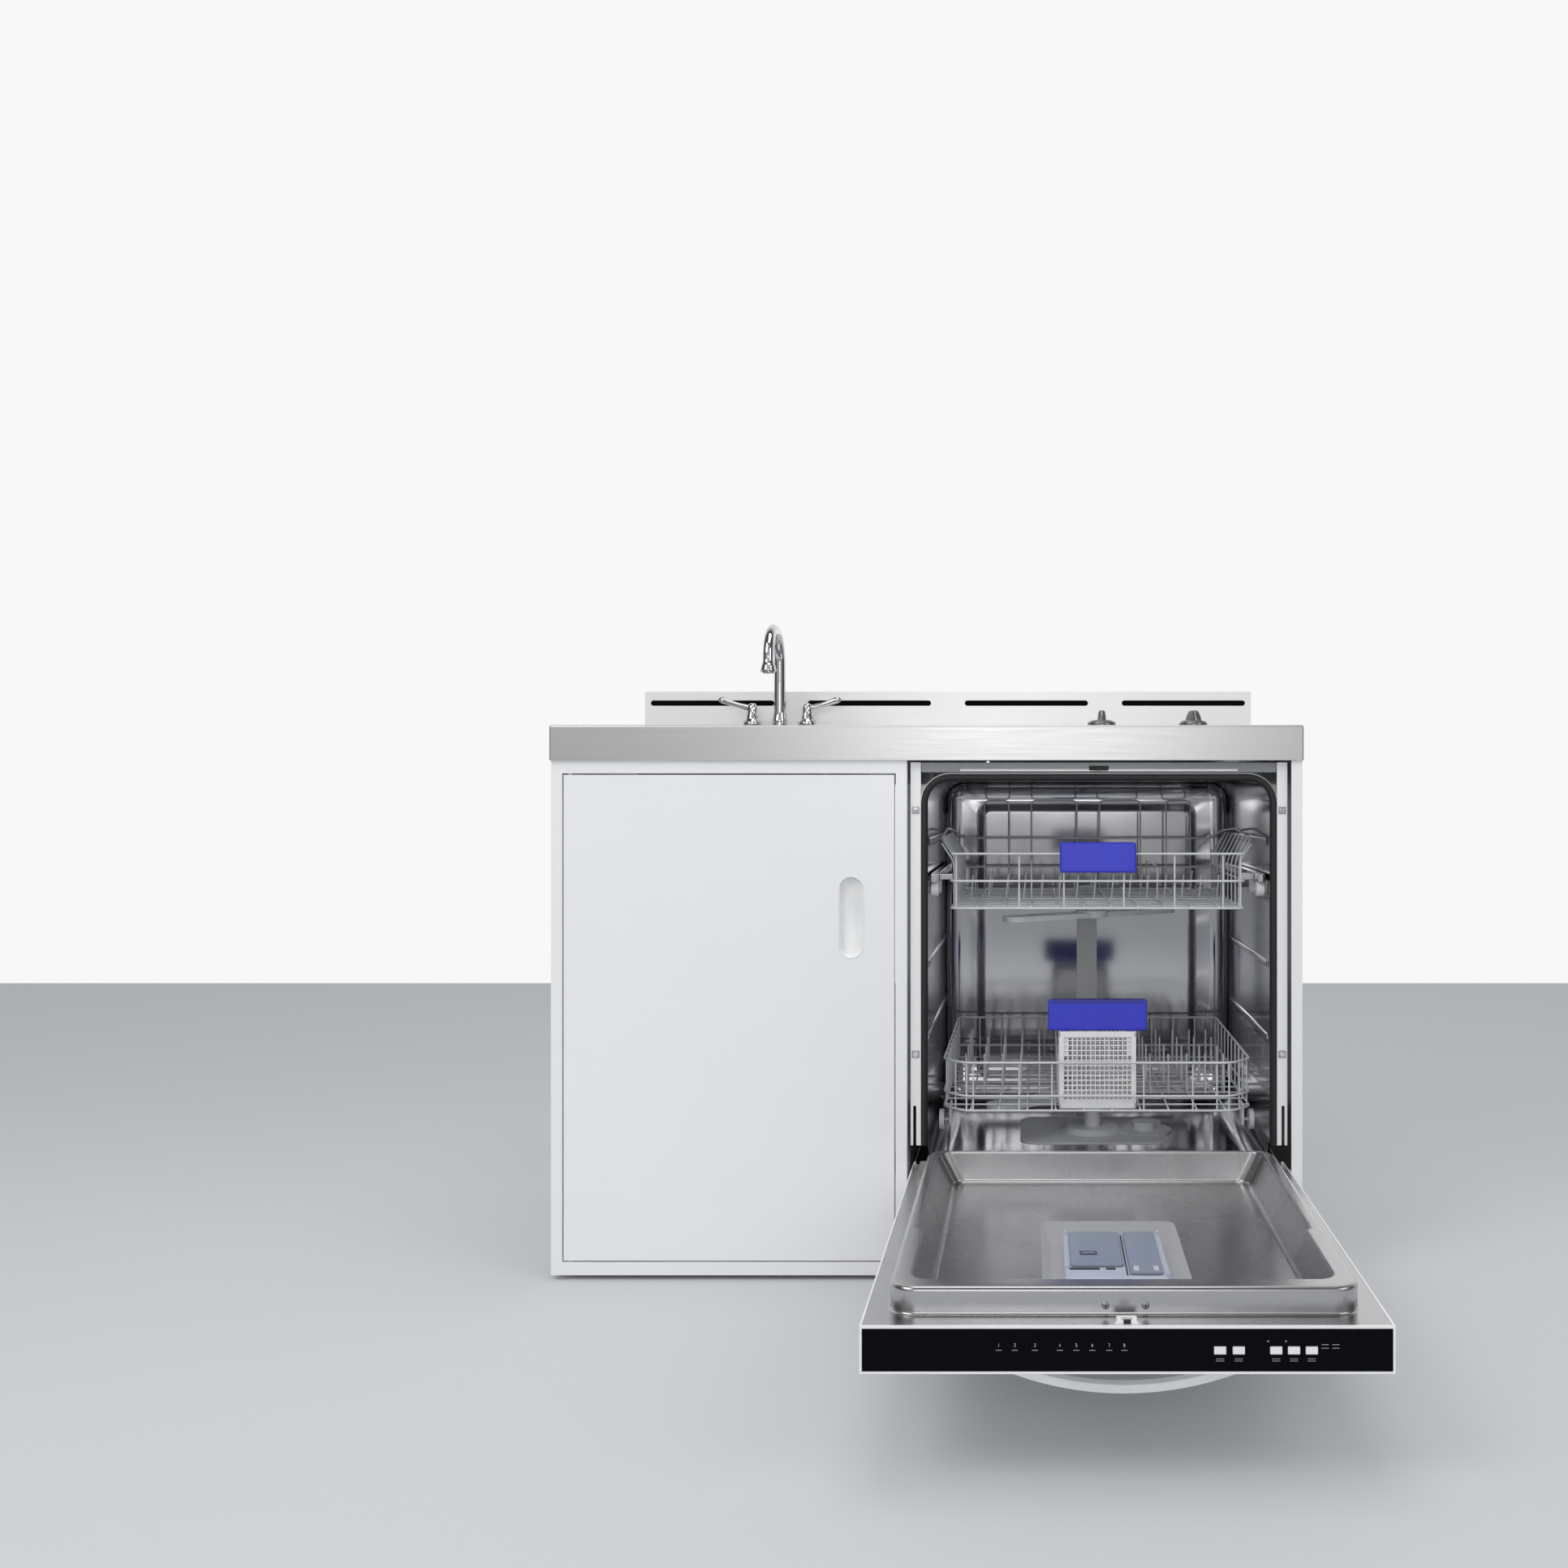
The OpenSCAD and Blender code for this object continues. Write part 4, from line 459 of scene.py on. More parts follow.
def liner():
    """The pressed liner: flange, raised rim, sloped well and the plate round the dispenser."""
    rim_z, floor_z = 220, 173
    base, wall = (277, -1270, -637, 36), (273, -1266, -640, 32)
    rim_out, rim_in = (267, -1260, -645, 26), (259, -1240, -650, 24)
    slope_top, slope_low = (254.5, -1235, -652, 21), (234, -1216, -656, 20)
    floor = (226, -1208, -661, 15)
    loops = [(298.6, -1297, -640.5, 3, FLANGE_Z), (*base, FLANGE_Z)]
    loops += [(*blend(base, wall, s), FLANGE_Z + 4 * c) for s, c in quarter()]
    loops.append((*wall, rim_z - 6))
    loops += [(*blend(wall, rim_out, c), rim_z - 6 + 6 * s) for s, c in quarter()]
    loops += [(*blend(rim_in, slope_top, s), rim_z - 3.5 * c) for s, c in quarter()[:-1]]
    loops += [(*slope_top, rim_z - 3.5), (*slope_low, floor_z + 5)]
    loops += [(*blend(slope_low, floor, c), floor_z + 5 - 5 * s) for s, c in quarter()]
    plate = [(95, -1170, -860, 16, floor_z), (93.6, -1168.6, -862, 15, floor_z - 0.4),
             (91, -1166, -866, 13, 171), (84, -1160, -922, 10, 166.6),
             (81, -1158, -930, 9, 166), (66, -1133, -957, 6, 166)]
    loops.append(plate[0])
    # The plate wears the lighter copy of the liner's steel: painted light.
    for name, rows, steel, nodes in (("liner_plate", plate, PLATE_PAINTED_LIGHTER, ()),
                                     ("liner", loops, LINER_STEEL, ("door_inner_panel",))):
        bm = bmesh.new()
        loft(bm, [outline(*row) for row in rows])
        soften(from_bmesh(name, bm, steel, DOOR_BODY, "stainless", *nodes), 0)
    blocks("liner_heel", [((DX - 290.5, -640.5, 186.9), (DX + 290.5, -585.4, FLANGE_Z))],
           LINER_STEEL, DOOR_BODY, "stainless", width=0.0004)


def hem():
    """The outer skin's white edge, folded over the liner's flange."""
    strips = (((DX - 301.4, -1299.9), (DX + 301.4, -1297.2)),
              ((DX - 301.4, -1297.2), (DX - 298.8, -641)),
              ((DX + 298.8, -1297.2), (DX + 301.4, -641)))
    blocks("door_hem", [((*low, 185.8), (*high, FLANGE_Z + 0.5)) for low, high in strips],
           WHITE, DOOR_BODY, "painted_white", width=0.0004)


def latch_front():
    """White latch block with its mouth, and the two screws beside it; the mouth's dark and the
    screws' slots are near-black blocks of painted shade.
    """
    low, top = FLANGE_Z + 0.2, FLANGE_Z + 5.4
    hole = ((-6.5, -1293.8), (6.5, -1293.8), (6.5, -1285.4), (-6.5, -1285.4))
    rows = ((((-14.5, -1296), (14.5, -1296), (12.5, -1282), (-12.5, -1282)), low),
            (((-10.5, -1295.4), (10.5, -1295.4), (11.5, -1282), (-11.5, -1282)), top),
            (hole, top), (hole, low))
    bm = bmesh.new()
    loft(bm, [[at(DX + x, y, z) for x, y in corners] for corners, z in rows])
    soften(from_bmesh("latch_block", bm, WHITE_PLASTIC, DOOR_BODY, "white_plastic",
                      "door_latch"), 0.0008)
    # Near-black blocks on the latch's face and at the floor of its hole: painted shade of its
    # mouth.
    blocks("latch_mouth_painted_shade",
           [((DX - 4.2, -1296.3, FLANGE_Z + 1), (DX + 4.2, -1293.9, FLANGE_Z + 5.6)),
            ((DX - 6.4, -1293.7, FLANGE_Z + 0.1), (DX + 6.4, -1285.5, FLANGE_Z + 0.35))],
           RUBBER, DOOR_BODY, "black_plastic")
    wall_y, screw_z = -1266, 199
    heads, slots = bmesh.new(), []
    for x in (DX - 23, DX + 23):
        loft(heads, [[at(x + r * math.cos(a), wall_y - out, screw_z + r * math.sin(a))
                      for a in around(20)]
                     for r, out in ((4.6, 0), (4.2, 0.9), (2.8, 1.5), (1.2, 1.6))], cap_last=True)
        slots += [((x - wide, wall_y - 1.8, screw_z - tall),
                   (x + wide, wall_y - 1, screw_z + tall))
                  for wide, tall in ((2.6, 0.45), (0.45, 2.6))]
    from_bmesh("latch_screws", heads, ZINC, DOOR_BODY, "zinc_steel", smooth=50)
    # Near-black blocks standing in the screw heads' slots: painted shade of the grooves.
    blocks("latch_screw_slots_painted_shade", slots, RUBBER, DOOR_BODY, "black_plastic")


def rounded_block(bm, x0, x1, y0, y1, z0, z1, corner, edge):
    """An upright block with round vertical corners and a rolled top edge."""
    center = ((x0 + x1) / 2, (y0 + y1) / 2)
    hx, hy = (x1 - x0) / 2, (y1 - y0) / 2
    loops = [at_all(ring((*center, z0), (hx, hy), corner, steps=6))]
    for s, c in [(0, 0), *quarter(4)]:
        d = edge * c
        loops.append(at_all(ring((*center, z1 - edge + edge * s), (hx - d, hy - d),
                                 max(corner - d, 0.3), steps=6)))
    loft(bm, loops, cap_first=True, cap_last=True)


def rounded_blocks(name, sizes, material, body, slot, *stands_for, smooth=None):
    """A piece made of rounded blocks; each size is what rounded_block takes after its bmesh."""
    bm = bmesh.new()
    for size in sizes:
        rounded_block(bm, *size)
    return from_bmesh(name, bm, material, body, slot, *stands_for, smooth=smooth)


def dispenser():
    """Moulded body with a raised border, two lids, a latch and a dial window."""
    cy = -1045                                # middle of its length
    slot = "dispenser_blue_grey"
    borders = [(DX + s * 63 - 2.4, DX + s * 63 + 2.4, cy + y, cy + y + 4.4, 184, 190.2, 1.2, 1)
               for s, y0 in ((-1, -55), (1, -85)) for y in (y0, 84.3)]
    tray = (DX - 66.5, DX + 66.5, cy - 90, cy + 90, 160, 185.2, 11, 4)
    rounded_blocks("dispenser", [tray, *borders], DISPENSER, DOOR_BODY, slot, "dispenser_body",
                   smooth=45)
    # Near-black strips in the gaps at and between the lids: painted shade of the gaps.
    blocks("dispenser_gaps_painted_shade", [((DX - 60, cy - 58, 185.2), (DX - 22, cy - 53, 185.9)),
                              ((DX - 14, cy - 58, 185.2), (DX - 2, cy - 53, 185.9)),
                              ((DX + 11.2, cy - 80, 185.1), (DX + 12.8, cy + 82, 185.5))],
           RUBBER, DOOR_BODY, "black_plastic")
    rounded_blocks("detergent_lid",
                   [(DX - 59, DX + 9, cy - 49.6, cy + 83.6, 186.2, 190, 6, 2.4),
                    (DX - 54, DX + 4, cy - 44, cy - 40.5, 189.6, 190.7, 1.6, 0.6)],
                   DISPENSER_LID, "detergent_flap", slot, "dispenser_lid", smooth=45)
    rounded_blocks("lid_latch", [(DX - 46, DX - 23, cy - 16, cy, 189.4, 190.4, 2.5, 0.5)],
                   LATCH_DARK, "detergent_flap", slot)
    rounded_blocks("lid_latch_bar", [(DX - 43, DX - 26, cy - 10, cy - 6, 190.2, 190.9, 1, 0.3)],
                   DISPENSER_LID, "detergent_flap", slot)
    rounded_blocks("rinse_lid_top", [(DX + 15, DX + 57, cy - 79.6, cy + 83.6, 186.2, 190, 5, 2)],
                   DISPENSER_LID, "rinse_flap", slot, "rinse_lid", smooth=45)
    rounded_blocks("rinse_window", [(DX + 19, DX + 53, cy - 75, cy - 47, 189.5, 190.3, 3, 0.4)],
                   WINDOW_GREY, "rinse_flap", slot)
    rounded_blocks("rinse_tabs", [(DX + x, DX + x + 7, cy - 77, cy - 61, 190, 191.2, 1.5, 0.6)
                                  for x in (20, 45)], TAB_PALE, "rinse_flap", slot)


# Strokes of plain numbers, on a grid 2 wide and 4 high
DIGITS = {
    1: [[(0.4, 3.2), (1, 4), (1, 0)]],
    2: [[(0, 3.3), (0.5, 4), (1.6, 4), (2, 3.2), (2, 2.6), (0, 0), (2, 0)]],
    3: [[(0, 4), (2, 4), (1, 2.4), (1.7, 2.2), (2, 1.4), (1.7, 0.2), (0.6, 0), (0, 0.6)]],
    4: [[(1.5, 0), (1.5, 4), (0, 1.2), (2, 1.2)]],
    5: [[(2, 4), (0.2, 4), (0.1, 2.3), (1.4, 2.5), (2, 1.7), (1.8, 0.3), (1, 0), (0, 0.3)]],
    6: [[(1.8, 4), (0.5, 2.6), (0, 1.2), (0.4, 0.1), (1.5, 0), (2, 1), (1.6, 2.1), (0.3, 1.8)]],
    7: [[(0, 4), (2, 4), (0.8, 0)]],
    8: [[(1, 2.2), (0.2, 3), (0.4, 3.9), (1.6, 3.9), (1.8, 3), (1, 2.2), (0, 1.2), (0.4, 0.1),
         (1.6, 0.1), (2, 1.2), (1, 2.2)]],
}


def fascia():
    """Gloss black plate with plain programme numbers and small blank marks."""
    dressed("control_fascia", FASCIA, 0.0005)
    x_of = [-144.5, -126.5, -104, -76, -57.5, -39.5, -20.5, -3.5]
    grid = 0.85                               # one step of the numbers' grid
    strokes = [[at(DX + x + (u - 1) * grid, DOOR_FRONT - 0.02, 165 + v * grid) for u, v in stroke]
               for number, x in enumerate(x_of, 1) for stroke in DIGITS[number]]
    wires("programme_numbers", strokes, 0.00022, PRINT_WHITE, DOOR_BODY, "white_plastic",
          sides=1, corner=0)
    # Each group: where its marks stand, half their width, and their low and high edges
    groups = ((x_of, 3.4, ((160.6, 161.5),)),
              ((104, 125, 167, 187, 207), 4.6, ((151.0, 151.7), (148.6, 149.3))),
              ((158, 178), 1, ((170.4, 172),)),
              ((222, 234), 4, ((163, 163.8), (167, 167.8))))
    blocks("fascia_marks", [((DX + x - half, DOOR_FRONT - 0.1, low),
                             (DX + x + half, DOOR_FRONT + 0.2, high))
                            for places, half, edges in groups for x in places
                            for low, high in edges],
           MARK_GREY, DOOR_BODY, "white_plastic")


# --- worktop, splash, faucet, knobs, pull


def worktop():
    """The CAD sheet with its outer edges rolled to a folded sheet's radius."""
    mesh, bm = flat_faced("worktop")
    low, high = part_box("worktop")
    near = 1e-5

    def outside(edge):
        mid = (edge.verts[0].co + edge.verts[1].co) / 2
        faces = [mid.y < low.y + near, abs(abs(mid.x) - high.x) < near, mid.z > high.z - near]
        return sum(faces) == 2

    bmesh.ops.bevel(bm, geom=[e for e in bm.edges if outside(e)], offset=0.0034, segments=5,
                    profile=0.5, affect="EDGES", clamp_overlap=False)
    bm.to_mesh(mesh)
    bm.free()
    piece = new_object("worktop_sheet", mesh, STAINLESS, "unit", "stainless", "worktop")
    soften(piece, 0.0003, 1)


def splash():
    """Backsplash with softened folds, and a near-black sheet behind its slots: painted shade where
    their hollow shows through.
    """
    dressed("backsplash", SPLASH_STEEL, 0.0006, 3)
    blocks("splash_slot_painted_shade", [((x - 130, -47.9, 957), (x + 130, -46.9, 983))
                             for x in (i * 315.75 for i in (-1.5, -0.5, 0.5, 1.5))],
           SLOT_PAINTED_SHADE, "unit", "black_rubber")


def turned(name, profile, x, y, z, material, body, slot, *stands_for):
    """A turned piece from (radius, height) points above its foot."""
    bm = bmesh.new()
    lathe(bm, profile, (x, y, z), 56)
    from_bmesh(name, bm, material, body, slot, *stands_for, smooth=38)


def swept(name, points, radii, side, material, body, slot, *stands_for):
    """A tube of changing radius in the plane square to side, its ends closed."""
    pts = [Vector(at(*p)) for p in points]
    rows = []
    for k, (p, r) in enumerate(zip(pts, radii)):
        along = (pts[min(k + 1, len(pts) - 1)] - pts[max(k - 1, 0)]).normalized()
        up = along.cross(side)
        rows.append([p + (side * math.cos(a) + up * math.sin(a)) * r * MM for a in around(28)])
    bm = bmesh.new()
    loft(bm, rows, cap_first=True, cap_last=True)
    from_bmesh(name, bm, material, body, slot, *stands_for, smooth=50)


def faucet():
    """Centre spout and two lever valves, each on its own base."""
    dressed("faucet_base", CHROME, 0.0008, 3)
    collar = [(0, 0), (18, 0), (18.2, 1.5), (17.4, 3.6), (15.6, 6), (15, 12), (15, 24),
              (15.3, 27), (15, 30), (0, 30)]
    turned("spout_collar", collar, SINK_X, FAUCET_Y, DECK_Z, CHROME, "unit", "chrome")
    bend = 60                                 # radius of the spout's bow
    foot, top = DECK_Z + 30.4, DECK_Z + 217 - 11 - bend
    points = [(SINK_X, FAUCET_Y, foot + k * (top - foot) / 8) for k in range(8)]
    radii = [11.8 - k / 10 for k in range(8)]
    for k in range(25):
        a = math.pi * k / 24
        points.append((SINK_X, FAUCET_Y - bend + bend * math.cos(a), top + bend * math.sin(a)))
        radii.append(11 - k / 30)
    tip_y = FAUCET_Y - 2 * bend
    points += [(SINK_X, tip_y, 1038), (SINK_X, tip_y, 1034)]
    radii += [10.2, 12]
    swept("spout_tube", points, radii, Vector((1, 0, 0)), CHROME, "faucet_spout", "chrome",
          "spout")
    mouth = [(0, 4), (9.6, 4), (10.6, 0), (12, 0.6), (14.4, 3), (15, 6), (14.2, 9), (13.4, 11),
             (13.8, 12.6), (13, 14.4), (11.2, 18.6), (9.4, 21), (0, 21)]
    turned("spout_aerator", mouth, SINK_X, tip_y, 1015, CHROME, "faucet_spout", "chrome")
    flare = [(0, 0), (14.8, 0), (15.2, 1.4), (14.8, 4), (13.6, 9), (12.6, 14), (11.9, 19),
             (0, 19.2)]
    turned("spout_ring", flare, SINK_X, FAUCET_Y, DECK_Z + 30.6, CHROME, "faucet_spout", "chrome")
    bell = [(0, 0), (18, 0), (18.2, 1.4), (17.6, 3.4), (16.3, 6), (15.9, 14), (16.2, 19),
            (17.5, 23), (18.1, 26), (18.1, 29.5), (17, 32), (14.4, 35), (12.4, 37.4),
            (12, 40), (0, 40)]
    hub = [(0, 0), (11.2, 0), (12, 1.6), (11.2, 4.2), (10, 6), (9.7, 12), (9.8, 17),
           (9.2, 21), (7.6, 25), (4.6, 27.6), (0, 28)]
    # The lever: how far out and how high it runs, and its radius there
    lever = [(2, 954, 5.8), (8, 956.6, 6.2), (16, 959, 5.6), (26, 961.6, 5.0), (36, 964.4, 5.0),
             (46, 968, 5.6), (53, 970.8, 6.4), (58, 972.2, 6.6), (62, 973.2, 5.8),
             (65, 973.8, 3.8), (67, 974, 1.0)]
    for s, body, name in ((-1, "hot_lever", "hot"), (1, "cold_lever", "cold")):
        x = SINK_X + s * 54
        turned(name + "_bell", bell, x, FAUCET_Y, DECK_Z, CHROME, "unit", "chrome")
        turned(name + "_hub", hub, x, FAUCET_Y, DECK_Z + 40.3, CHROME, body, "chrome",
               name + "_handle")
        swept(name + "_lever_arm", [(x + s * out, FAUCET_Y, z) for out, z, _ in lever],
              [r for _, _, r in lever], Vector((0, 1, 0)), CHROME, body, "chrome")


def knob(name, x, degrees, body):
    """A domed skirt with a fingered grip, turned to where it points."""
    skirt = [(0, 0), (23.4, 0), (24, 0.6), (24, 5), (23.6, 6.6), (22.4, 8.2), (20, 9.8),
             (15, 11.6), (8, 12.7), (0, 13)]
    turned(name + "_skirt", skirt, x, KNOB_Y, 900, KNOB_GREY, body, "grey_knob", name)
    bm = bmesh.new()
    rows = ((903, 22, 7.4), (910, 20.4, 6.8), (917, 17, 6.4), (922, 14, 6.1),
            (925.5, 11.6, 5.4), (927.4, 9.4, 4), (928, 7, 2))
    loft(bm, [at_all(ring((0, 0, z), (wide, half), min(wide, half) * 0.9, steps=5))
              for z, half, wide in rows], cap_last=True)
    spin = Matrix.Rotation(math.radians(degrees), 4, "Z")
    bmesh.ops.transform(bm, matrix=Matrix.Translation(at(x, KNOB_Y, 0)) @ spin, verts=bm.verts)
    from_bmesh(name + "_grip", bm, KNOB_GREY, body, "grey_knob", smooth=50)


def pull():
    """White cup with a rolled rim round its oblong mouth."""
    x, y, z = -122.5, -604.7, 587             # middle of the mouth
    # Half width, half height and depth behind the mouth
    rows = ((21.2, 67.2, 0.75), (21.0, 67.0, 0.2), (20.4, 66.4, 0), (19.6, 65.6, 0.1),
            (18.6, 64.6, 0.9), (18.2, 64.2, 2.4), (17.6, 63.6, 8.4), (16.6, 62.6, 10.2),
            (14.6, 60.6, 11.2))
    bm = bmesh.new()
    loft(bm, [at_all(ring((x, y + d, z), (hx, hz), hx - 0.01, axis="Y", steps=12))
              for hx, hz, d in rows], cap_last=True)
    from_bmesh("pull_cup", bm, WHITE_PLASTIC, "cabinet_door_leaf", "white_plastic",
               "recess_pull", smooth=60)


def strip_plates():
    """Small bright square plates under the strips' screws."""
    centers = [(DX + s * 297.65, z) for s in (-1, 1) for z in (364, 760)]
    blocks("strip_plates", [((x - 6, -595.7, z - 6), (x + 6, -594.8, z + 6)) for x, z in centers],
           ZINC, "unit", "zinc_steel", width=0.0003)


# --- dishwasher tub and what sits in it


def tub_loop(half, low, high, radius, y):
    """A rounded upright outline round the dishwasher's middle."""
    return at_all(ring((DX, y, (low + high) / 2), (half, (high - low) / 2), radius,
                       axis="Y", steps=8))


def cut(bm, point, facing, **options):
    """Cuts the whole bmesh along a plane."""
    bmesh.ops.bisect_plane(bm, geom=bm.verts[:] + bm.edges[:] + bm.faces[:], dist=WELD,
                           plane_co=at(*point), plane_no=facing, **options)


def open_for_heel(bm):
    """Takes the low front edge away, where the door's heel stands."""
    front_y = -568.2
    cut(bm, (0, 0, LIP_Z), (0, 0, 1))
    cut(bm, (0, front_y, 0), (0, 1, 0))
    gone = [f for f in bm.faces if f.calc_center_median().z < LIP_Z * MM
            and f.calc_center_median().y < front_y * MM]
    bmesh.ops.delete(bm, geom=gone, context="FACES")


def tub():
    """Pressed tub: rolled lip, drawn walls and a back wall with a raised field."""
    lip, bend, mouth_y, back_y = 6, 32, -590.1, -45
    loops = [tub_loop(291, 161, 821, 49, mouth_y)]
    loops += [tub_loop(280 + lip * (1 - s), 172 - lip * (1 - s), 810 + lip * (1 - s),
                       38 + lip * (1 - s), mouth_y + lip * c) for s, c in quarter()]
    loops.append(tub_loop(280, 172, 810, 38, back_y - bend))
    loops += [tub_loop(280 - bend * c, 172 + bend * c, 810 - bend * c, max(38 - bend * c, 8),
                       back_y - bend * (1 - s)) for s, c in quarter()]
    loops += [tub_loop(222, 214, 770, 24, -45.2), tub_loop(216, 220, 764, 20, -46.5),
              tub_loop(208, 228, 756, 14, -53), tub_loop(202, 234, 750, 10, -54.5)]
    bm = bmesh.new()
    loft(bm, loops, cap_last=True)
    open_for_heel(bm)
    soften(from_bmesh("tub_shell", bm, TUB_STEEL, "unit", "tub_steel", "tub"), 0)
    outer = bmesh.new()
    loft(outer, [tub_loop(291, 161, 821, 49, -588.9), tub_loop(283, 169, 813, 41, -586),
                 tub_loop(283, 169, 813, 41, -70), tub_loop(266, 186, 796, 24, -42.1)],
         cap_last=True)
    open_for_heel(outer)
    from_bmesh("tub_outside", outer, ZINC, "unit", "tub_steel", smooth=50)


def tub_ribs():
    """Drawn ribs along the side walls, standing 3 mm proud."""
    bm = bmesh.new()
    for s in (-1, 1):
        for z0, z1 in ((700, 716), (500, 512), (380, 392)):
            loops = []
            for d, proud in ((0, 0), (2, 2.4), (5, 3)):
                x = DX + s * (280.2 - proud)
                loops.append([at(x, y, z) for y, z in
                              ((-560 + d, z0 + d), (-100 - d, z0 + d),
                               (-100 - d, z1 - d), (-560 + d, z1 - d))])
            loft(bm, loops, cap_last=True)
    soften(from_bmesh("tub_ribs", bm, TUB_STEEL, "unit", "tub_steel"), 0.0015, 3, 20)


def tub_front():
    """Grey head flange with its bead, made near-white as a painted highlight in place of the
    steel's reflection, and the strike's dark face.
    """
    blocks("head_flange", [((DX - 288.8, -590.6, 822), (DX + 288.8, -588.3, 837.8))], HEAD_GREY,
           "unit", "tub_steel", width=0.0004)
    blocks("head_bead", [((DX - 226, -591.8, 823.4), (DX + 226, -590.4, 827.4))], BEAD_PAINTED_HIGHLIGHT,
           "unit", "tub_steel", width=0.0006, segments=3)
    blocks("strike_face", [((DX - 16, -592, 824.6), (DX + 16, -590.4, 832.4))], RUBBER,
           "unit", "black_rubber", width=0.0006)


def gasket():
    """Round-backed rubber seal that follows the tub's mouth."""
    rows = [(289, -590.2), (289, -594)]
    rows += [(289 - 5 * c, -594 - 3.6 * s) for s, c in quarter(4)]
    rows += [(282.5, -597.7), (280.2, -596.2), (278, -592.5), (278, -590.2)]
    bm = bmesh.new()
    loft(bm, [tub_loop(h, 452 - h, 530 + h, h - 242, y) for h, y in rows])
    cut(bm, (0, 0, LIP_Z), (0, 0, 1), clear_inner=True)
    from_bmesh("gasket_seal", bm, RUBBER, "unit", "black_rubber", "tub_gasket", smooth=50)


# --- racks and cutlery basket


def loop_wire(half, y0, y1, z, cham=0):
    """A closed wire round the rack, begun in the middle of its back."""
    front = [(half, y0), (-half, y0)] if not cham else \
        [(half, y0 + cham), (half - cham, y0), (cham - half, y0), (-half, y0 + cham)]
    corners = [(0, y1), (half, y1), *front, (-half, y1), (0, y1)]
    return [at(DX + x, y, z) for x, y in corners]


def floor_wires(half, y0, y1, z, cham=0):
    """Wires across and along the rack's floor, the long ones laid on the cross ones."""
    pitch = 46
    paths = []
    count = round((y1 - y0) / pitch)
    for k in range(1, count):
        y = y0 + k * (y1 - y0) / count
        edge = half - max(0, cham - (y - y0))
        paths.append([at(DX - edge, y, z), at(DX + edge, y, z)])
    count = round(2 * half / pitch)
    for k in range(1, count):
        x = -half + 2 * half * k / count
        start = y0 + max(0, abs(x) - (half - cham))
        paths.append([at(DX + x, start, z + 3), at(DX + x, y1, z + 3)])
    return paths


def upright(x, y, low, top):
    """A straight upright wire, x from the rack's middle."""
    return [at(DX + x, y, low), at(DX + x, y, top)]


def mirrored(box):
    """A block given by its x, y and z spans at the right, and its twin at the left."""
    (x0, x1), (y0, y1), (z0, z1) = box
    return [((DX - x1, y0, z0), (DX - x0, y1, z1)), ((DX + x0, y0, z0), (DX + x1, y1, z1))]


def upper_rack():
    """Wire basket with flared sides, its side rails and the spray arm's feed pipe."""
    half, low, top, back_top = 243, 598, 688, 700
    thick = [loop_wire(half, RACK_FRONT, RACK_BACK, z) for z in (low, 643)]
    for s in (-1, 1):
        thick.append([at(DX + s * x, y, z) for x, y, z in
                      ((240, RACK_FRONT, top), (262, -500, 712), (264, -300, 724),
                       (262, -130, 716), (half, RACK_BACK, back_top))])
    thick += [[at(DX - x, y, z), at(DX + x, y, z)]
              for x, y, z in ((240, RACK_FRONT, top), (half, RACK_BACK, back_top))]
    thin = floor_wires(half, RACK_FRONT, RACK_BACK, low)
    thin += [upright(x, RACK_FRONT + 3, low, top) for x in (-234, -130, -56, 43, 127, 207, 236)]
    for s in (-1, 1):
        for k in range(1, 10):
            y = RACK_FRONT + k * (RACK_BACK - RACK_FRONT) / 10
            thin.append(upright(s * (half - 3), y, low, 672)
                        + [at(DX + s * 261, y, 714 if 1 < k < 9 else 704)])
    hoop_top = 774
    thin += [upright(x0, RACK_BACK, low, hoop_top) + upright(x1, RACK_BACK, hoop_top, low)
             for x0, x1 in ((-204, -156), (-111, -21), (24, 105), (156, 204))]
    for y in (-395, -250):
        thin.append([at(DX - 225, y, low + 4), at(DX + 225, y, low + 4)])
        thin += [[at(x, y, low + 4), at(x + 4, y, low + 46)]
                 for x in (DX - 217 + k * 31 for k in range(15))]
    thin += [upright(x, -420, low + 4, 660) + upright(x, -180, 660, low + 4)
             for x in (-110, 110)]
    wires("upper_rack_frame", thick, WIRE, WIRE_COAT, "rack_upper", "rack_wire", "upper_rack",
          corner=0.016)
    wires("upper_rack_wires", thin, FINE_WIRE, WIRE_COAT, "rack_upper", "rack_wire",
          corner=0.010)
    rails = [mirrored(box) for box in (((264, 276), (-560, -85), (641, 655)),
                                       ((241.5, 264), (-520, -500), (643, 653)),
                                       ((241.5, 264), (-150, -130), (643, 653)))]
    blocks("upper_rack_rails", [pair[side] for side in (0, 1) for pair in rails],
           CHROME, "rack_upper", "rack_wire", width=0.0012, segments=3)
    feed = bmesh.new()
    box_mesh(feed, (DX - 9, -315.6, 575), (DX + 9, -71.3, 594))
    lathe(feed, [(13, 0), (13, 3), (9, 3.4), (9, 18)], (DX, -306.6, 559.4), 28)
    soften(from_bmesh("feed_pipe", feed, PALE_GREY, "rack_upper", "rack_wire"), 0.003, 3)


def blue_grip(name, body, low, high, *stands_for):
    """A moulded grip with rolled edges."""
    blocks(name, [(low, high)], BLUE, body, "blue_plastic", *stands_for,
           width=0.0042, segments=5)


def upper_handle():
    """The upper rack's grip, with the hood and the two clips that hold it to the wires."""
    blue_grip("upper_grip", "rack_upper", (DX - 63, -569, 657), (DX + 63, -560.4, 707),
              "upper_rack_handle")
    blocks("upper_grip_hood", [((DX - 60, -565, 698.6), (DX + 60, -536, 706.6)),
                               *(((DX + x, -562, 682), (DX + x + 10, -553.6, 700))
                                 for x in (-40, 30))],
           BLUE, "rack_upper", "blue_plastic", width=0.002, segments=3)


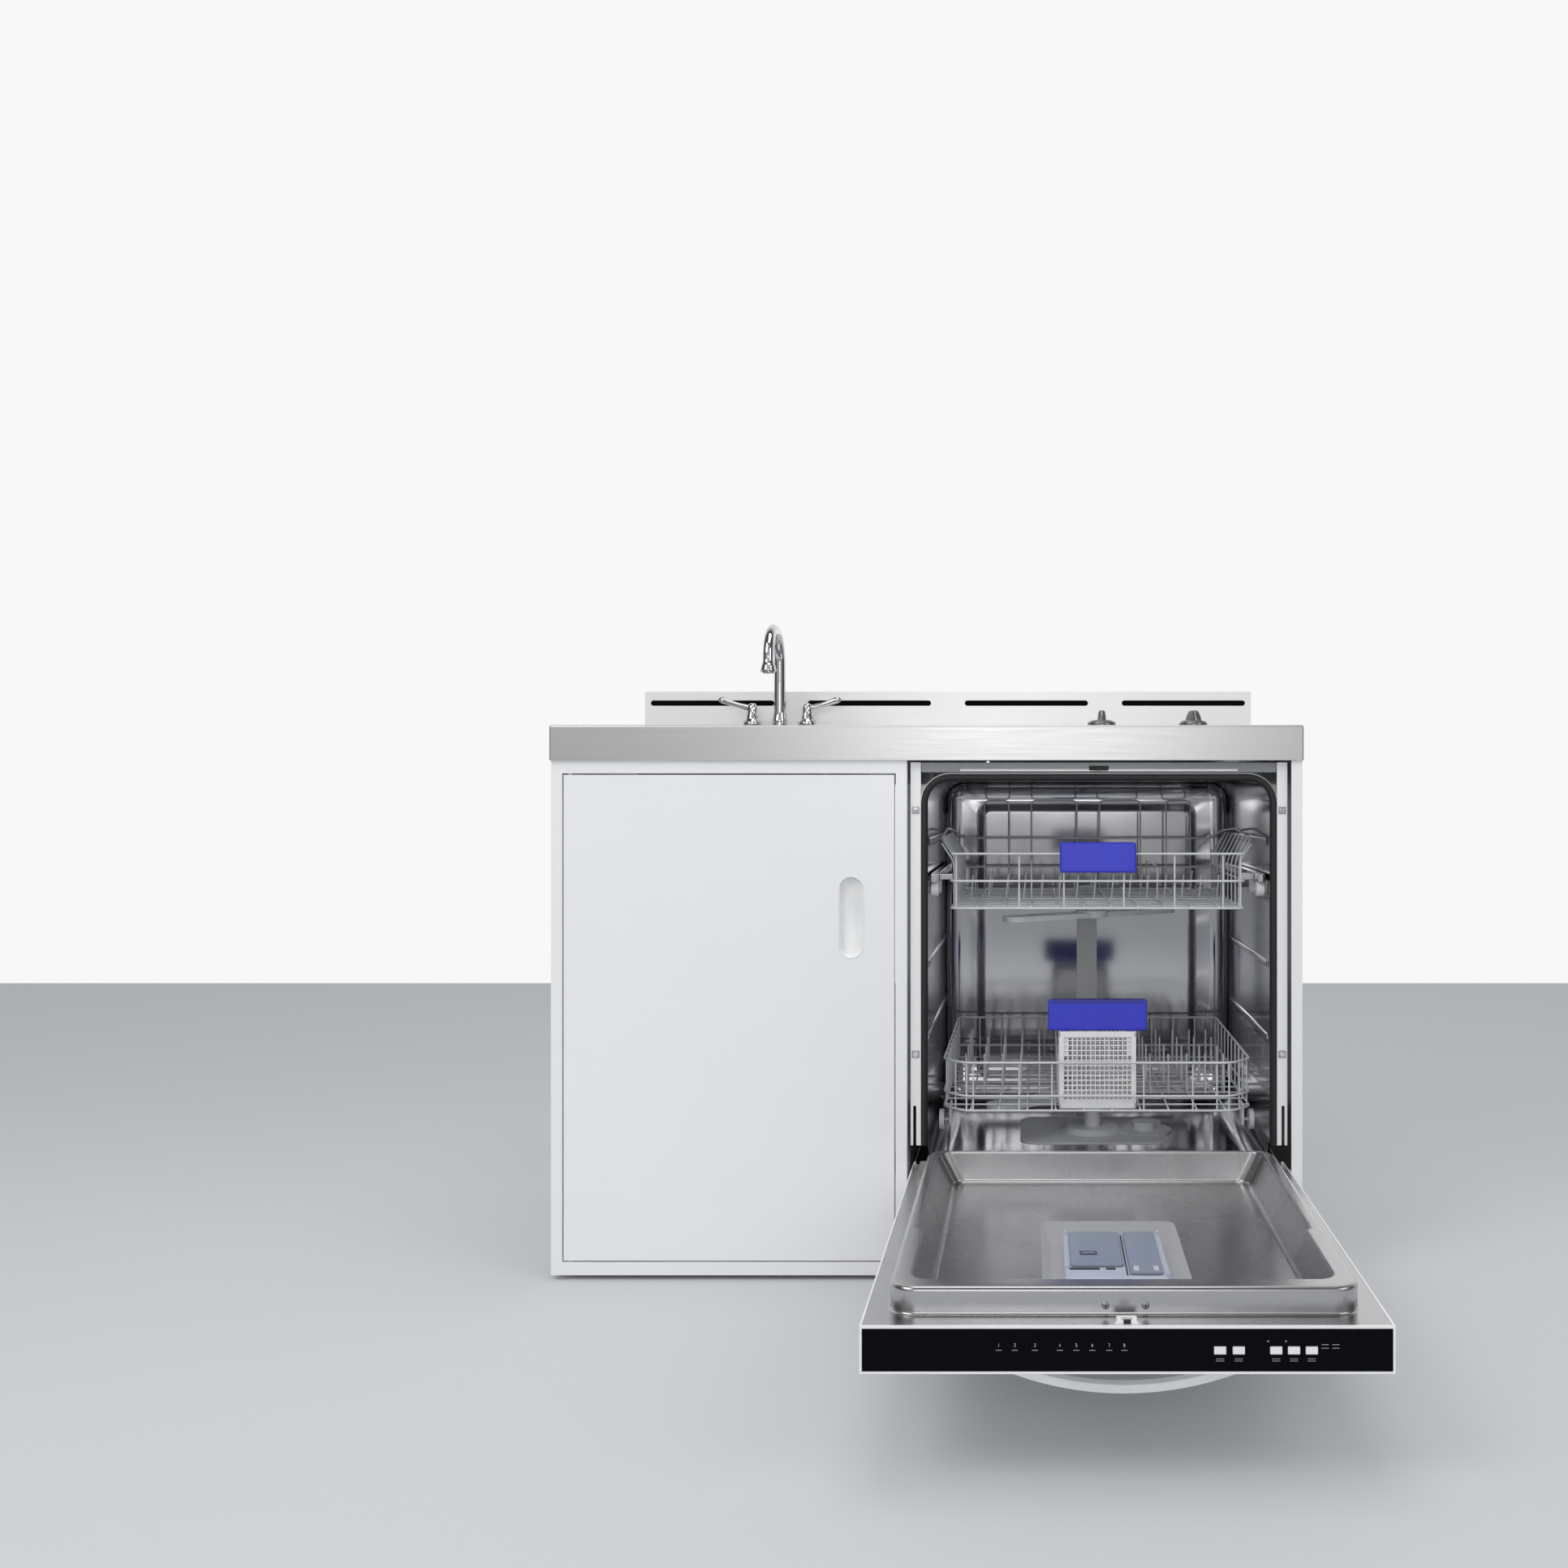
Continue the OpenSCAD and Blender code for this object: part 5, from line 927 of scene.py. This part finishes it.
def lower_rack():
    """Wire basket with cut front corners, its rows of tines and its wheels' brackets."""
    half, y0, y1, low, top, cham = 256, -558, -82, 264, 343, 36
    thick = [loop_wire(half, y0, y1, z, cham) for z in (low, 288, top)]
    thin = floor_wires(half, y0, y1, low, cham)
    thin += [upright(x, y0 + 3, low - 3, top)
             for x in (-217, -206, -130, -76, 76, 157, 197, 217)]
    for s in (-1, 1):
        thin += [upright(s * (half - 3), y0 + cham + 14 + k * (y1 - y0 - cham - 28) / 9, low, top)
                 for k in range(10)]
        thin.append(upright(s * (half - cham / 2 - 2), y0 + cham / 2 + 2, low, top))
    thin += [upright(-half + 2 * half * k / 12, y1 - 3, low, top) for k in range(1, 12)]
    tines = []
    for y in (-430, -345, -260, -175):
        thin.append([at(DX - 232, y, low + 4), at(DX + 232, y, low + 4)])
        tines += [[at(x, y - 14, low + 4), at(x, y, low + 72), at(x, y + 14, low + 4)]
                  for x in (DX - 224 + k * 32 for k in range(15))]
    wires("lower_rack_frame", thick, WIRE, WIRE_COAT, "rack_lower", "rack_wire", "lower_rack",
          corner=0.014)
    wires("lower_rack_wires", thin, FINE_WIRE, WIRE_COAT, "rack_lower", "rack_wire")
    wires("lower_rack_tines", tines, 0.0014, WIRE_COAT, "rack_lower", "rack_wire", corner=0.005)
    brackets = []
    for side in (0, 1):
        for y in (-500, -140):
            brackets += [mirrored(((244, 248), (y - 16, y + 16), (229.6, 266)))[side],
                         mirrored(((244.4, 266), (y - 2.4, y + 2.4), (234.9, 239.7)))[side]]
    blocks("wheel_brackets", brackets, PALE_GREY, "rack_lower", "rack_wire", width=0.0015,
           segments=3)


def cutlery():
    """White moulded basket: thick borders, a fine mesh between them and a blue handle."""
    x0, x1, y0, y1, z0, z1 = DX - 64, DX + 64, -548, -472, 265, 392
    wall, half_bar = 3, 0.9                   # thickness of the borders, half a mesh bar's width
    cell_x, cell_y, cell_z = (x1 - x0) / 17, (y1 - y0) / 10, (z1 - z0 - 12) / 14
    borders, grid = [], []
    for y in (y0, y1 - wall):
        borders += [((x0, y, z), (x1, y + wall, z + 10)) for z in (z0, z1 - 9)]
        borders.append(((x0 + 0.1, y + 0.2, z0 + 1), (x1 - 0.1, y + 2.8, z0 + 15)))
        borders += [((x, y + 0.1, z0), (x + 8, y + 2.9, z1)) for x in (x0, x1 - 8)]
    for x in (x0, x1 - wall):
        borders += [((x + 0.1, y0, z + 0.1), (x + 2.9, y1, z + 8.9)) for z in (z0, z1 - 9)]
        borders += [((x + 0.1, y, z0), (x + 2.9, y + 6, z1))
                    for y in (y0, (y0 + y1) / 2 - 3, y1 - 6)]
    blocks("cutlery_frame", borders, WHITE_PLASTIC, "cutlery", "white_plastic", "cutlery_basket",
           width=0.0008)
    bars_x = [x0 + k * cell_x for k in range(1, 17)]
    bars_y = [y0 + k * cell_y for k in range(1, 10)]
    bars_z = [z0 + 6 + k * cell_z for k in range(1, 14)]
    for y in (y0 + 1, y1 - 2.6):
        grid += [((x - half_bar, y, z0 + 4), (x + half_bar, y + 1.6, z1 - 4)) for x in bars_x]
        grid += [((x0 + 3, y + 0.1, z - half_bar), (x1 - 3, y + 1.5, z + half_bar))
                 for z in bars_z]
    for x in (x0 + 1, x1 - 2.6):
        grid += [((x, y - half_bar, z0 + 4), (x + 1.6, y + half_bar, z1 - 4)) for y in bars_y]
        grid += [((x + 0.1, y0 + 3, z - half_bar), (x + 1.5, y1 - 3, z + half_bar))
                 for z in bars_z]
    grid += [((x - half_bar, y0 + 1, z0 + 0.3), (x + half_bar, y1 - 1, z0 + 2.2)) for x in bars_x]
    grid += [((x0 + 1, y - half_bar, z0 + 0.4), (x1 - 1, y + half_bar, z0 + 2.1)) for y in bars_y]
    blocks("cutlery_mesh", grid, WHITE_PLASTIC, "cutlery", "white_plastic")
    blue_grip("cutlery_grip", "cutlery", (DX - 82, y0 - 0.4, 394), (DX + 82, y0 + 13.4, 446))
    posts = [(DX + s * 55 - 6, DX + s * 55 + 6) for s in (-1, 1)]
    blocks("cutlery_grip_posts", [((a, y0 + 3, z1 - 1), (b, y0 + 8, 402)) for a, b in posts],
           BLUE, "cutlery", "blue_plastic", width=0.001)
    soften(rounded_blocks("cutlery_grip_lip",
                          [(DX - 80, DX + 80, y0 - 1, y0 + 14.4, 440, 446, 6, 3)],
                          BLUE_DEEP, "cutlery", "blue_plastic"), 0)
    blocks("cutlery_grip_roots", [((a, y0 + 3.1, z1 - 40), (b, y0 + 7.9, z1 - 0.9))
                                  for a, b in posts],
           WHITE_PLASTIC, "cutlery", "white_plastic", width=0.0008)


# --- the dressed pieces, in order
for build in (liner, hem, latch_front, dispenser, fascia, worktop, splash, faucet):
    build()
knob("left_knob", 288, 0, "knob_left")
knob("right_knob", 443, 25, "knob_right")
for build in (pull, strip_plates, tub, tub_ribs, tub_front, gasket, upper_rack, upper_handle,
              lower_rack, cutlery):
    build()

# CAD nodes that keep their own shape, by their finishes
for finish, nodes in (
        (WHITE, "left_side_panel right_side_panel centre_partition cabinet_floor face_frame "
                "rear_rails cabinet_door mounting_strips door_outer_panel"),
        (RUBBER, "levelling_feet"), (STAINLESS_UP, "sink_bowl"),
        (CHROME, "drain_flange strainer_basket"), (WHITE_PLASTIC, "drain_trap"),
        (CHROME, "drip_bowls"), (ZINC, "hob_underbox"), (DARK_PLASTIC, "hob_switchgear"),
        (COIL_BLACK, "left_coil right_coil"), (CHROME, "strip_screws"), (ZINC, "chassis_base"),
        (PALE_GREY, "sump_filter"), (DARK_PLASTIC, "pump_unit"), (PALE_GREY, "water_riser"),
        (ZINC, "door_hinge_brackets"), (RUBBER, "latch_strike"),
        (WHITE_PLASTIC, "rail_rollers_front rail_rollers_rear bow_handle"),
        (ZINC, "door_hinge_arms"),
        (WHITE_PLASTIC, "button_1 button_2 button_3 button_4 button_5"),
        (PALE_GREY, "upper_spray_arm lower_wheels_front lower_wheels_rear lower_spray_arm")):
    for node_name in nodes.split():
        dressed(node_name, finish)

# --- floor, light and camera


def put_on_stage(thing):
    """Puts a floor or a lamp in the scene as part of the studio."""
    bpy.context.scene.collection.objects.link(thing)


def studio_floor():
    """A plain pale floor that keeps the object's shadow."""
    mesh = bpy.data.meshes.new("studio_floor")
    mesh.from_pydata([(-9, -9, 0), (9, -9, 0), (9, 3, 0), (-9, 3, 0)], [], [(0, 1, 2, 3)])
    mesh.materials.append(base_material("studio_floor", (0.66, 0.67, 0.685), 0.7)[0])
    put_on_stage(bpy.data.objects.new("studio_floor", mesh))


def area_lamp(name, location, target, size, power, height=None):
    """A soft lamp aimed at a point; with a height it is size wide and height tall."""
    data = bpy.data.lights.new(name, "AREA")
    data.energy = power
    data.size = size
    if height:
        data.shape = "RECTANGLE"
        data.size_y = height
    lamp = bpy.data.objects.new(name, data)
    lamp.location = location
    lamp.rotation_euler = (Vector(target) - Vector(location)).to_track_quat("-Z", "Y").to_euler()
    put_on_stage(lamp)


def studio_world():
    """White for the camera; mirror and clear rays meet that white at the back, fading in front."""
    world = bpy.data.worlds.new("studio")
    world.use_nodes = True
    tree = world.node_tree
    tree.nodes.clear()
    link = tree.links.new
    path = tree.nodes.new("ShaderNodeLightPath")
    coord = tree.nodes.new("ShaderNodeTexCoord")
    split = tree.nodes.new("ShaderNodeSeparateXYZ")
    link(coord.outputs["Generated"], split.inputs["Vector"])
    span = node(tree, "ShaderNodeMapRange", From_Min=-1.0)
    fade = tree.nodes.new("ShaderNodeValToRGB")
    stops = fade.color_ramp.elements
    for place, level in ((0.0, 0.46), (0.12, 0.40), (0.26, 0.10), (0.58, 0.06), (0.76, 0.75),
                         (1.0, 1.0)):
        stop = stops.new(place)
        stop.color = (level, level, level, 1)
    stops.remove(stops[0])
    stops.remove(stops[-1])
    link(split.outputs["Y"], span.inputs["Value"])
    link(span.outputs["Result"], fade.inputs["Fac"])

    def sky(color, strength):
        return node(tree, "ShaderNodeBackground", Color=(*color, 1), Strength=strength)

    def choose(flag, no, yes):
        made = tree.nodes.new("ShaderNodeMixShader")
        link(flag, made.inputs["Fac"])
        link(no.outputs[0], made.inputs[1])
        link(yes.outputs[0], made.inputs[2])
        return made

    mirror = sky((1, 1, 1), 1)
    link(fade.outputs["Color"], mirror.inputs["Color"])
    mix = choose(path.outputs["Is Glossy Ray"], sky((0.95, 0.97, 1), 0.6), mirror)
    mix = choose(path.outputs["Is Transmission Ray"], mix, mirror)
    mix = choose(path.outputs["Is Camera Ray"], mix, sky((1, 1, 1), 0.94))
    out = tree.nodes.new("ShaderNodeOutputWorld")
    link(mix.outputs["Shader"], out.inputs["Surface"])
    bpy.context.scene.world = world


def photo_camera():
    """The photo's view, fitted to the worktop's and the bay's edges."""
    camera = bpy.data.cameras.new("camera")
    camera.lens = 32.3
    camera.sensor_width = 36
    camera.shift_x = -0.16
    camera.shift_y = 0.0074
    camera.clip_end = 60
    eye = bpy.data.objects.new("camera", camera)
    eye.location = (0.175, -2.88, 0.784)
    eye.rotation_euler = (math.radians(90), 0, 0)
    bpy.context.scene.collection.objects.link(eye)
    bpy.context.scene.camera = eye


studio_floor()
area_lamp("key", (-1.9, -2.6, 2.9), (0, -0.5, 0.5), 1.6, 29.5)
area_lamp("fill", (2.5, -2.4, 2.2), (0.2, -0.5, 0.5), 1.6, 12)
area_lamp("front", (0.10, -4.2, 1.35), (0.1, -0.5, 0.75), 1.3, 10, 1.2)
area_lamp("top", (0.1, -0.9, 3.0), (0.1, -0.7, 0), 1.4, 12.6)
studio_world()
photo_camera()
bpy.context.scene.view_settings.view_transform = "Standard"
